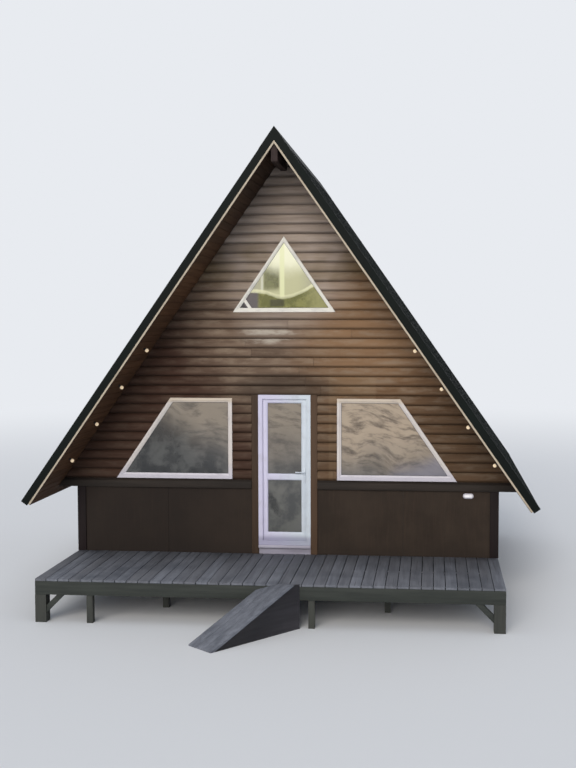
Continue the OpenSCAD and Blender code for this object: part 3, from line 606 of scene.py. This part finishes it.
sheet_stain = sheet_finish()
corner_side = side_half - trim_w
shapes = []
for low, high in ((-corner_side, -board_side), (board_side, corner_side)):
    shapes += sheets(low, high, deck_top, -1, front_y, 2)
shapes += sheets(-corner_side, corner_side, wall_low.z, 1, back_y, 5)
for side in (-1, 1):
    for points, faces in sheets(front_y + trim_w, back_y - trim_w, wall_low.z, 1, side_half, 4):
        shapes.append((points[:, [1, 0, 2]] * (side, 1, 1), faces))
put("low_wall_sheets", shapes, sheet_stain)


# Ledge, corner boards and the boards beside the door: planed boards in the wall's stain.
# Their edges are eased, as planed boards are.
sharp_turn, eased_smooth = math.radians(25), 50


def eased(node, width, material, body="root"):
    """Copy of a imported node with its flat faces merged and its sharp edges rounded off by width."""
    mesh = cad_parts[node].data.copy()
    shell = bmesh.new()
    shell.from_mesh(mesh)
    bmesh.ops.remove_doubles(shell, verts=shell.verts, dist=1e-5)
    bmesh.ops.dissolve_limit(shell, angle_limit=0.01, verts=shell.verts, edges=shell.edges)
    sharp = [edge for edge in shell.edges if edge.calc_face_angle(0.0) > sharp_turn]
    bmesh.ops.bevel(
        shell, geom=sharp, offset=width, segments=2, profile=0.5, affect="EDGES", clamp_overlap=True
    )
    shell.to_mesh(mesh)
    shell.free()
    mesh.materials.clear()
    finished("eased_" + node, mesh, material, body, (node,), eased_smooth)


eased("band_boards", 0.004, timber("ledge_stain", 0, (18, 12, 7), (36, 25, 16), 0.9))


def trim_finish():
    """Upright boards: the wall's brown beside the door, in painted shade on the left and painted light on
    the right, and a deep reddish brown on the corners.
    """
    finish = Finish("trim_stain")
    x = finish.axes()[0]
    grain = finish.grain(2)
    colour = finish.coats(
        # Painted light and shade: the board left of the door darker, the one to its right lighter.
        finish.mix(x.above(-0.4, 0.4), (48, 36, 28), (72, 54, 41)),
        (grain * 0.5, (92, 74, 58)),
        ((x * x).above(2.0, 6.0), finish.mix(grain, (14, 7, 8), (26, 15, 16))),
    )
    return finish.surface(colour, 0.75, grain, 0.0008, {"Specular IOR Level": 0.25})


eased("wall_trim_boards", 0.003, trim_finish())
eased("eave_boards", 0.003, timber("eave_stain", 1, (62, 42, 32), (92, 68, 52), 0.7))


# Ridge beam and rafters: planed structural timber. The beam's end shows under the peak of the roof.
eased("ridge_beam", 0.005, timber("beam_stain", 1, (26, 13, 11), (44, 24, 19), 0.85))
dress(joist_timber, "rafters")


# Roof lining: tongued boards with bevelled edges, nailed under the roof along the house.
# They are stained under the overhang and show a V groove at every joint.
lining_pitch, groove, lining_t = 0.11, 0.005, 0.02
side_joint, end_joint, end_length = 0.0005, 0.001, 1.2
lining_front, lining_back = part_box("roof_lining_right")[0].y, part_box("roof_lining_right")[1].y


def lining_side(side):
    """Boards of one slope: a flat board with two bevelled lower edges, carried along the house."""
    boards = []
    for start in np.arange(0.0, slope_len - lining_t, lining_pitch):
        u0, u1 = start + side_joint, min(start + lining_pitch, slope_len) - side_joint
        u = np.array([u0, u0 + groove, u1 - groove, u1, u1, u0])
        n = np.array([groove, 0.0, 0.0, groove, lining_t, lining_t])
        joint = draw.uniform(lining_front + end_length, lining_back - end_length)
        for low, high in ((lining_front, joint - end_joint), (joint + end_joint, lining_back)):
            shape = carried(np.stack([on_slope(u, n, y, side) for y in (low, high)]))
            boards.append((*shape, draw.uniform()))
    return boards


def lining_finish():
    """Stained boards, each with its own tone; grain along the house, and painted shade towards the ridge.
    """
    finish = Finish("lining_stain")
    height = finish.axes()[2]
    tone = finish.tone()
    grain = finish.grain(1, tone)
    wood = finish.mix(grain, (70, 46, 29), (112, 80, 54))
    # Painted shade: darker up towards the ridge, deep under the roof.
    deep = height.above(4.2, 5.9) * 0.7
    colour = finish.coats(wood, (tone * 0.45, (54, 36, 24)), (deep, (24, 17, 13)))
    return finish.surface(colour, 0.8 - 0.15 * grain, grain, 0.0008, {"Specular IOR Level": 0.3})


lining_stain = lining_finish()
for name, side in (("left", -1), ("right", 1)):
    node = "roof_lining_" + name
    put("boards_" + name, lining_side(side), lining_stain, stands_for=(node,))
dress(lining_stain, "eave_soffits")
roof_core = timber("roof_core", 1, (120, 96, 66), (168, 140, 100))
dress(roof_core, "roof_boarding_left", "roof_boarding_right")


# Roof metal: ribbed sheets, ridge cap and edge angles of painted steel, near black with a green cast.
# Washered screws hold the sheets on the ribs and the folded pieces along their edges.
def roof_finish():
    """Painted steel: dust streaks down the slope, faint waves in the pans and a dull gloss."""
    finish = Finish("roof_paint")
    streak = finish.noise(2.0, 5.0, 0.65, finish.stretched((0.5, 9.0, 0.5))).above(0.35, 0.8)
    cloud = finish.noise(1.3, 4.0, 0.6).above(0.35, 0.75)
    colour = finish.mix(streak * 0.35, (4, 10, 9), (24, 34, 31))
    colour = finish.mix(cloud * 0.3, colour, (3, 6, 6))
    waves = finish.noise(3.5, 2.0, 0.5)
    return finish.surface(colour, 0.52 + 0.12 * streak, waves, 0.001, {"Specular IOR Level": 0.1})


roof_paint = roof_finish()
dress(roof_paint, "ridge_cap")
for side in ("left", "right"):
    dress(roof_paint, "roof_sheet_" + side, "rake_flashing_" + side)
sheet_points = corners("roof_sheet_right")
sheet_over = over_lining(sheet_points)
sheet_n = sheet_over.max()
ribs = np.unique(np.round(sheet_points[sheet_over > sheet_n - 0.001, 1], 4))
rib_middles = (ribs[::2] + ribs[1::2]) / 2


def turned(profile, turns):
    """Round piece: profile points of radius and height, turned around the upright axis."""
    angles = np.linspace(0, 2 * math.pi, turns, endpoint=False)
    circle = np.stack([np.cos(angles), np.sin(angles)], -1)
    return carried(np.stack([np.insert(r * circle, 2, h, axis=1) for r, h in profile]))


screw_profile = [(0.0085, 0.0), (0.0085, 0.0012), (0.0075, 0.002), (0.0048, 0.0024), (0.0046, 0.0062)]
screw_points, screw_faces = turned(screw_profile, 6)
row_first, row_pitch = 0.32, 0.52
edge_first, edge_pitch, edge_in, edge_t = 0.25, 0.45, 0.08, 0.003


def screwed(u, n, y, side):
    """One screw at a place down one slope, standing n over its lining."""
    x, depth, height = screw_points.T
    return on_slope(u + x, n + height, y + depth, side), screw_faces


shapes = []
for side in (-1, 1):
    for row, u in enumerate(np.arange(row_first, slope_len, row_pitch)):
        shapes += [screwed(u, sheet_n, y, side) for y in rib_middles[1:-1][row % 2 :: 2]]
    for u in np.arange(edge_first, slope_len, edge_pitch):
        for y in (roof_front_y + edge_in, roof_back_y - edge_in):
            shapes.append(screwed(u, sheet_n + edge_t, y, side))
put("roof_screws", shapes, roof_paint, smooth=30)


# Rake boards: pale painted boards that close the roof edge. Only a strip shows under the metal angle,
# and their lower edges carry painted shade.
rake_n = over_lining(corners("rake_board_right")).min()


def pale_finish():
    """Old cream paint with soft dirt; the lower edge, at the least height over the slope, is painted dark
    brown as shade.
    """
    finish = Finish("rake_paint")
    x, y, z = finish.axes()
    dirt = finish.noise(4.0, 5.0, 0.65).above(0.4, 0.8)
    colour = finish.mix(dirt * 0.6, (184, 172, 152), (134, 119, 100))
    over = finish.math("ABSOLUTE", x) * slope_sin + (z - apex_z) * slope_cos - rake_n
    # Painted shade: the lower edge dark brown.
    colour = finish.mix(over.above(0.003, 0.006), (44, 32, 24), colour)
    return finish.surface(colour, 0.6, dirt, 0.0005)


rake_paint = pale_finish()
for node in ("rake_board_left", "rake_board_right"):
    eased(node, 0.002, rake_paint)


# Windows: white plastic frames, mitred at the corners, with a sloped bead round the sealed glass
# and a dark rubber line between them. The bottom members are a quarter wider than the others.
def mitred(outline, profile, shares=1.0, face=0.0, out=-1.0, loop=True):
    """Frame: every profile point gives a distance inwards and a depth behind a face that looks out
    along y. The outline is moved inwards by the distance times each side's share, so that all
    corners are mitred, and is set at the depth: face less out times depth."""
    moved = [(inset(outline, d * np.asarray(shares)), face - out * y) for d, y in profile]
    return carried(np.stack([np.insert(ring, 1, y, axis=1) for ring, y in moved]), loop)


def white_finish():
    """White plastic: lavender on the door, darker lavender low down with painted shade and dirt, cream
    with dust on the window heads, and brighter with painted light round the attic window.
    """
    finish = Finish("white_plastic")
    x, y, z = finish.axes()
    dust = finish.noise(7.0, 4.0, 0.6).above(0.45, 0.8)
    cream = finish.coats(
        (188, 185, 196),
        (z.above(1.66, 1.9), (203, 197, 194)),
        (z.above(2.71, 2.77), (197, 184, 168)),
        # Painted light: brighter round the attic window.
        (z.above(3.0, 4.0), (218, 216, 208)),
    )
    beside = (x * x).above(0.2, 0.4)
    colour = finish.coats(
        finish.mix(x.above(-0.3, 0.35), (196, 194, 218), (196, 206, 216)),
        ((beside + z.above(3.0, 3.4)).above(0.0, 1.0), cream),
        # Painted shade and dirt: darker lavender low down.
        ((1 - z.above(0.78, 0.86)) * 0.6, (120, 118, 146)),
        (dust * 0.3, (150, 146, 156)),
    )
    return finish.surface(colour, 0.4 + 0.15 * dust)


def plain(name, colour, roughness, metal=0.0):
    """One even colour with a slight mottle in its gloss."""
    finish = Finish(name)
    mottle = finish.noise(12.0, 3.0, 0.6)
    return finish.surface(colour, roughness + 0.1 * mottle, extra={"Metallic": metal})


white_plastic = white_finish()
rubber = plain("rubber_seal", (28, 28, 30), 0.7)
frame_face, frame_d, attic_face = 0.062, 0.074, 0.048
bead_in, glass_in, glass_t, second_in = 0.019, 0.025, 0.004, 0.045
frame_profile = [
    (0.0, 0.003), (0.003, 0.0), (0.034, 0.0), (0.036, 0.002), (0.0365, 0.006), (0.040, 0.006),
    (0.058, 0.014), (frame_face, bead_in), (frame_face, frame_d - 0.003), (0.059, frame_d), (0.0, frame_d),
]
seal_profile = [(0.060, bead_in), (0.065, 0.022), (0.065, glass_in + 0.002), (0.060, glass_in + 0.002)]
spacer_profile = [(0.0, 0.030), (0.012, 0.030), (0.012, 0.044), (0.0, 0.044)]
sill_share = 1.25


def glazed(outline, shares, face, out):
    """Frame, rubber, bar between the sheets of glass, and the two thin sheets, for one opening."""
    pane = inset(outline, frame_face * np.asarray(shares))
    panes = [prism(pane, face - out * y, face - out * (y + glass_t)) for y in (glass_in, second_in)]
    rings = [mitred(outline, profile, shares, face, out) for profile in (frame_profile, seal_profile)]
    return *rings, mitred(pane, spacer_profile, 1.0, face, out), panes


def window_glass():
    """Glass with painted reflections: tan above, blue grey at the foot and dark grey on the left, with
    short strokes that fall towards the right and one dark leaning shape low in the door."""
    finish = Finish("window_glass")
    x, y, z = finish.axes()
    bend = finish.noise(1.1, 2.0, 0.5) - 0.5
    fall = z + x * 0.22 + bend * 0.5
    strokes = finish.node("CombineXYZ", {}, {0: x * 1.5 + z * 0.5, 2: fall * 5.0})
    strokes = finish.noise(1.9, 5.0, 0.66, strokes).above(0.32, 0.56)
    cloud = finish.noise(3.2, 4.0, 0.6).above(0.38, 0.62)
    high = (z + bend * 0.7 + x * 0.12).above(1.65, 2.5)
    high_colour = finish.mix(strokes, (112, 98, 84), (172, 156, 136))
    high_colour = finish.mix((1 - x.above(0.3, 0.9)) * 0.52, high_colour, (92, 91, 87))
    corner = (x - (z - 1.6) * 1.6 + bend).above(1.1, 1.7)
    left = (0 - x - (z - 2.1) * 1.3 + bend * 0.8).above(0.7, 1.7)
    inside_door = 1 - (x * x).above(0.09, 0.2)
    dim = inside_door * (1 - z.above(1.55, 2.1)) * 0.6
    lean = x + 0.15 + (z - 1.27) * 0.25 + bend * 0.3
    shape = 1 - (lean * lean * 110 + (z - 1.27) * (z - 1.27) * 36 + cloud * 0.9).above(0.5, 1.9)
    # Painted reflections make up every coat below.
    colour = finish.coats(
        finish.mix(cloud, (74, 75, 76), (108, 105, 103)),
        (high, high_colour),
        ((1 - strokes) * 0.3, (72, 66, 58)),
        (corner * 0.7, (122, 122, 138)),
        (left * 0.85, finish.mix(cloud, (20, 22, 24), (64, 67, 67))),
        (dim, finish.mix(cloud, (70, 72, 72), (96, 98, 94))),
        (shape * inside_door * 0.85, (24, 26, 26)),
    )
    return finish.surface(colour, 0.12 + 0.12 * cloud, extra={"Alpha": 0.94, "Coat Weight": 0.4})


def lit_glass():
    """Glass of the lit attic, painted with its light and glowing: pale yellow light in the peak and in an
    upright bar, duller panels on both sides of the bar, a sagging bright line below them, and olive and
    grey under that line."""
    finish = Finish("lit_glass")
    x, y, z = finish.axes()
    wave = finish.noise(5.0, 3.0, 0.6) - 0.5
    patch = finish.noise(7.0, 4.0, 0.65).above(0.42, 0.62)
    side = finish.mix(patch * 0.5, (158, 154, 132), (190, 186, 158))
    side = finish.mix((x * x).above(0.02, 0.2), (200, 198, 154), side)
    panel = x.between(-0.29, -0.07, 0.02) * (z + wave * 0.04).between(4.34, 4.68, 0.05)
    thin = x.between(-0.33, -0.30, 0.012)
    peak = (z + wave * 0.12 - x * x * 0.8).above(4.46, 4.76)
    bar = x.between(-0.06, 0.005, 0.012)
    sag = z - 4.235 - x.above(0.03, 0.55) * 0.2 - (0 - x).above(0.0, 0.42) * 0.085 - wave * 0.05
    rim = 1 - (sag * sag).above(0.0001, 0.0012)
    store = x.between(-0.2, 0.0, 0.02) * z.between(4.1, 4.2, 0.015)
    floor = finish.coats(
        finish.mix(patch, (104, 104, 38), (138, 136, 70)),
        (x.above(0.2, 0.5) * 0.6, (164, 160, 106)),
        ((0 - x).above(0.34, 0.4), (96, 88, 88)),
        (store * 0.85, (56, 52, 14)),
    )
    pane = (0 - x - (z - 4.08) * 0.69).above(0.53, 0.54)
    colour = finish.coats(
        side,
        (panel, finish.mix(patch, (104, 104, 60), (126, 126, 80))),
        (thin * 0.6, (232, 232, 214)),
        (peak, (250, 249, 216)),
        (bar * 0.85, (240, 242, 190)),
        (1 - sag.above(-0.02, 0.01), floor),
        (rim * (0.55 + patch * 0.3), (238, 236, 192)),
        (pane * 0.9, (44, 38, 40)),
    )
    # Painted light: the glass glows with its own colour, though it is no lamp.
    extra = {"Emission Color": colour, "Emission Strength": 0.69, "Alpha": 0.97}
    return finish.surface(finish.mix(0.85, colour, (16, 16, 13)), 0.15, extra=extra)


pane_glass, attic_glass = window_glass(), lit_glass()
spacer_metal = plain("spacer_metal", (150, 152, 156), 0.4, 0.6)
shares = np.array([sill_share, 1.0, 1.0, 1.0])
attic_shares = shares[:3] * attic_face / frame_face
front_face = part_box("front_window_frames")[0].y
back_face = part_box("back_window_frames")[1].y
bar_foot, bar_lean, bar_w, bar_in = 0.120, math.radians(55.5), 0.040, 0.006


def corner_bar(inner):
    """Bar across the left corner of the attic window: two leaning lines, each carried down to the
    inner edge of the sill and up to the inner edge of the left side, where the lines cross."""
    along = np.array([-math.cos(bar_lean), math.sin(bar_lean)])
    across = np.array([math.sin(bar_lean), math.cos(bar_lean)]) * bar_w
    edge = (inner[2] - inner[0]) / np.linalg.norm(inner[2] - inner[0])
    low, high = [], []
    for shift in (0.0, 1.0):
        start = np.array([bar_foot, 0.0]) + across * shift
        reach = (start[0] * edge[1] - start[1] * edge[0]) / (along[1] * edge[0] - along[0] * edge[1])
        low.append(inner[0] + start - along * start[1] / along[1])
        high.append(inner[0] + start + along * reach)
    return [*low, *high[::-1]]


# Each outline starts at its lowest left corner, so that its first side is the sill.
left_opening = np.roll(left_window, 2, axis=0)
openings = [(right_window, shares), (left_opening, shares), (attic_window, attic_shares)]
for name, face, out in (("front", front_face, -1.0), ("back", back_face, 1.0)):
    made = [glazed(opening, share, face, out) for opening, share in openings]
    frames = [shape[0] for shape in made]
    nodes = ("front_window_frames", "attic_window_frame") if out < 0 else ("back_window_frames",)
    if out < 0:
        bar = corner_bar(inset(attic_window, frame_face * attic_shares))
        frames.append(prism(bar, face - out * bar_in, face - out * frame_d))
    put(name + "_frames", frames, white_plastic, stands_for=nodes, smooth=30)
    put(name + "_seals", [shape[1] for shape in made], rubber)
    put(name + "_spacers", [shape[2] for shape in made], spacer_metal)
    glass = made[0][3] + made[1][3]
    put(name + "_panes", glass, pane_glass, stands_for=(name + "_window_glass",))
    material = attic_glass if out < 0 else pane_glass
    put(name + "_attic_panes", made[2][3], material)


# Door: a white plastic frame with a stop, and a glazed leaf behind it with wide stiles, a low
# bottom rail and one middle rail. Leaf, panes, handle and upper hinge halves turn together.
leaf_low, leaf_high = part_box("door_leaf")
door_d = door_high.y - door_low.y
stop_in, stop_t, rebate = 0.064, 0.020, 0.050
door_profile = [
    (0.0, 0.003), (0.003, 0.0), (0.048, 0.0), (rebate, 0.0015), (0.052, 0.0), (0.061, 0.0),
    (stop_in, 0.003), (stop_in, stop_t), (rebate, stop_t), (rebate, door_d), (0.0, door_d),
]
door_outline = box_outline(door_low.x, door_low.z, door_high.x, door_high.z)
ring = mitred(door_outline, door_profile, face=door_low.y)
put("door_ring", [ring], white_plastic, stands_for=("door_frame",), smooth=30)
eased("door_leaf", 0.002, white_plastic, "door")

panes = corners("door_glass")
pane_half = panes[:, 0].max()
levels = np.unique(np.round(panes[:, 2], 4))
pane_near, pane_far = panes[:, 1].min(), panes[:, 1].max()
bead_gap, bar_gap, bar_reach = 0.002, 0.005, 0.02
leaf_beads, leaf_seals, leaf_panes, leaf_bars = [], [], [], []
for low, high in (levels[:2], levels[2:]):
    outline = box_outline(-pane_half, low, pane_half, high)
    for near, far in ((leaf_low.y + bead_gap, pane_near), (leaf_high.y - bead_gap, pane_far)):
        slant = [(0.0, near), (0.003, near), (0.014, near * 0.35 + far * 0.65), (0.014, far), (0.0, far)]
        leaf_beads.append(mitred(outline, slant))
        leaf_seals.append(mitred(outline, [(0.012, near * 0.2 + far * 0.8), (0.017, far), (0.012, far)]))
    leaf_panes.append(prism(outline, pane_near, pane_near + glass_t))
    leaf_panes.append(prism(outline, pane_far - glass_t, pane_far))
    near, far = pane_near + bar_gap, pane_far - bar_gap
    leaf_bars.append(mitred(outline, [(0.0, near), (bar_reach, near), (bar_reach, far), (0.0, far)]))
put("leaf_beads", leaf_beads, white_plastic, "door", smooth=30)
put("leaf_seals", leaf_seals, rubber, "door")
put("leaf_spacers", leaf_bars, spacer_metal, "door")
put("leaf_panes", leaf_panes, pane_glass, "door", stands_for=("door_glass",))
hinge_steel = plain("hinge_steel", (150, 150, 154), 0.35, 0.9)
eased("frame_hinges", 0.0015, hinge_steel)
eased("door_hinges", 0.0015, hinge_steel, "door")
eased("door_handle", 0.002, white_plastic, "door")


# Threshold: weathered wood under the door, its nose standing out over the deck. Its lavender grey is
# painted shade and dirt.
eased("door_sill", 0.004, timber("sill_timber", 0, (128, 124, 138), (176, 174, 190), 0.6))


# Deck frame: pressure-treated beams, dark with a greenish cast, and knee braces
# nailed between the corner posts and the front beam.
deck_dark, deck_light = (23, 28, 26), (46, 51, 46)
beam_stain = timber("deck_timber", 0, deck_dark, deck_light, 0.85)
rim_stain = timber("rim_timber", 1, deck_dark, deck_light, 0.85)
eased("deck_beams", 0.005, beam_stain)
eased("deck_rim_joists", 0.004, rim_stain)
eased("deck_braces", 0.004, beam_stain)


# Deck boards: thick sawn boards laid with open gaps, weathered grey, each a little high or low,
# with two nail heads over every beam.
def plank(low, high, ease):
    """Board along the house: a rectangle with rounded corners, drawn in by the easing at both ends."""
    low, high = np.asarray(low, float), np.asarray(high, float)
    turn = np.radians([180, 225, 270, 270, 315, 360, 0, 45, 90, 90, 135, 180])
    centre_x = np.repeat([low[0] + ease, high[0] - ease, high[0] - ease, low[0] + ease], 3)
    centre_z = np.repeat([low[2] + ease, low[2] + ease, high[2] - ease, high[2] - ease], 3)
    rings = []
    for y, radius in ((low[1], 0.3), (low[1] + ease, 1.0), (high[1] - ease, 1.0), (high[1], 0.3)):
        x, z = centre_x + radius * ease * np.cos(turn), centre_z + radius * ease * np.sin(turn)
        rings.append(np.stack([x, np.full(12, y), z], -1))
    return carried(np.stack(rings))


def weathered(name, turn=None):
    """Grey weathered wood: silvery grain, dark drying cracks along it and damp patches."""
    finish = Finish(name)
    finish.turn = turn
    tone = finish.tone()
    grain = finish.grain(1, tone)
    thin = finish.stretched((95.0, 1.1, 95.0), tone)
    crack = finish.noise(1.0, 2.0, 0.4, thin).above(0.66, 0.74)
    damp = finish.noise(1.7, 4.0, 0.65).above(0.42, 0.72)
    colour = finish.coats(
        finish.mix(grain, (78, 82, 92), (126, 130, 140)),
        (tone * 0.5, (76, 76, 80)),
        (damp * 0.55, (54, 60, 70)),
        (crack * 0.8, (34, 34, 36)),
    )
    return finish.surface(colour, 0.8 - 0.2 * damp, grain - crack, 0.0015)


boards = corners("deck_boards")
board_low, board_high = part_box("deck_boards")
edges = np.unique(np.round(boards[:, 0], 4))
nail_in, nail_off_x, nail_off_y, wall_nails, edge_nails = 0.03, 0.006, 0.012, 0.025, 0.05
nail_ys = [front_y - wall_nails, (front_y + board_low.y) / 2, board_low.y + edge_nails]
plank_ease, plank_short, side_play, height_play, end_play = 0.004, 0.001, 0.0015, 0.003, 0.006
nail_points, nail_faces = turned([(0.0045, -0.001), (0.0045, 0.0006), (0.003, 0.0012)], 8)
planks, nails = [], []
for left, right in zip(edges[::2], edges[1::2]):
    drop, pull = draw.uniform(0, height_play), draw.uniform(0, end_play)
    low = (left + draw.uniform(0, side_play), board_low.y + pull, board_low.z)
    high = (right - draw.uniform(0, side_play), board_high.y - plank_short, board_high.z - drop)
    planks.append((*plank(low, high, plank_ease), draw.uniform()))
    for y in nail_ys:
        for x in (left + nail_in, right - nail_in):
            off_x = draw.uniform(-nail_off_x, nail_off_x)
            off_y = draw.uniform(-nail_off_y, nail_off_y)
            spot = (x + off_x, y + off_y, board_high.z - drop)
            nails.append((nail_points + spot, nail_faces))
grey_boards = weathered("deck_grey")
put("deck_planks", planks, grey_boards, stands_for=("deck_boards",), smooth=40)
nail_steel = plain("nail_steel", (70, 66, 62), 0.5, 0.7)
put("deck_nails", nails, nail_steel)


# Ramp: three planks down from the deck, turned away to the left, on battens between closed sides.
ramp_turn = math.radians(-40)
eased("ramp_planks", 0.004, weathered("ramp_grey", ramp_turn))
ramp_sides = Finish("ramp_sides")
ramp_sides.turn = ramp_turn
dark_grain = ramp_sides.grain(1)
side_colour = ramp_sides.mix(dark_grain, (36, 35, 40), (62, 60, 66))
eased("ramp_frame", 0.003, ramp_sides.surface(side_colour, 0.8, dark_grain, 0.001))


# Wall lamp: an oval bulkhead fitting of white plastic with a domed opal lens, screwed to the low wall.
lamp_low, lamp_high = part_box("wall_lamp")


def stadium(width, height, turns):
    """Oval outline: two half circles with straight stretches between them."""
    angle = np.linspace(0, 2 * math.pi, turns, endpoint=False)
    shift = np.where(np.cos(angle) > 0, 1, -1) * (width - height) / 2
    return np.stack([shift + height / 2 * np.cos(angle), height / 2 * np.sin(angle)], 1)


lamp_middle = np.array([(lamp_low.x + lamp_high.x) / 2, (lamp_low.z + lamp_high.z) / 2])
lamp_outline = stadium(lamp_high.x - lamp_low.x, lamp_high.z - lamp_low.z, 36) + lamp_middle


def domed(profile):
    """Solid over the oval: each profile point gives a distance inwards and a depth off the wall."""
    return mitred(lamp_outline, profile, face=front_y, out=1.0, loop=False)


body_profile = [
    (0.0, 0.0), (0.0, 0.014), (0.003, 0.018), (0.006, 0.019),
    (0.009, 0.0195), (0.010, 0.024), (0.013, 0.024), (0.013, 0.018),
]
lens_profile = [
    (0.012, 0.016), (0.012, 0.034), (0.014, 0.043), (0.018, 0.049), (0.024, 0.0532), (0.031, 0.055),
]
put("lamp_body", [domed(body_profile)], white_plastic, stands_for=("wall_lamp",), smooth=40)


def opal(name, scale, colours, gloss, light, strength):
    """Opal glass or plastic: mottled between two colours, and between two gloss values, with a glow."""
    finish = Finish(name)
    mottle = finish.noise(scale, 2.0, 0.5)
    extra = {"Emission Color": light, "Emission Strength": strength}
    roughness = gloss[0] + (gloss[1] - gloss[0]) * mottle
    return finish.surface(finish.mix(mottle, *colours), roughness, extra=extra)


lens_colours = (228, 226, 230), (204, 204, 212)
opal_lens = opal("opal_lens", 14.0, lens_colours, (0.25, 0.35), (245, 247, 255), 0.15)
put("lamp_lens", [domed(lens_profile)], opal_lens, smooth=60)


# Rake bulbs: small warm lamps in black sockets, hung under the roof edge on both sides.
hung = corners("rake_bulbs")
bulb_y = (hung[:, 1].min() + hung[:, 1].max()) / 2
right = hung[hung[:, 0] > 0]
down = np.sort(right[:, 0] * slope_cos + (apex_z - right[:, 2]) * slope_sin)
groups = np.split(down, np.flatnonzero(np.diff(down) > 0.1) + 1)
socket_profile = [
    (0.012, 0.0), (0.0156, 0.002), (0.0156, 0.026), (0.0175, 0.028), (0.0175, 0.036), (0.013, 0.038),
]
bulb_r, bulb_middle = 0.026, 0.0502
bend = np.linspace(0.62, math.pi - 0.05, 10)
bulb_profile = [(bulb_r * math.sin(a), bulb_middle - bulb_r * math.cos(a)) for a in bend]
sockets, bulbs = [], []
for side in (-1, 1):
    for group in groups:
        u = (group[0] + group[-1]) / 2
        for profile, into in ((socket_profile, sockets), (bulb_profile, bulbs)):
            points, faces = turned(profile, 16)
            into.append((on_slope(u + points[:, 0], -points[:, 2], bulb_y + points[:, 1], side), faces))
put("bulb_sockets", sockets, rubber, smooth=35)
bulb_colours = (240, 224, 196), (226, 202, 166)
bulb_glass = opal("bulb_glass", 30.0, bulb_colours, (0.2, 0.25), (255, 228, 190), 0.4)
put("bulb_glass", bulbs, bulb_glass, stands_for=("rake_bulbs",), smooth=60)
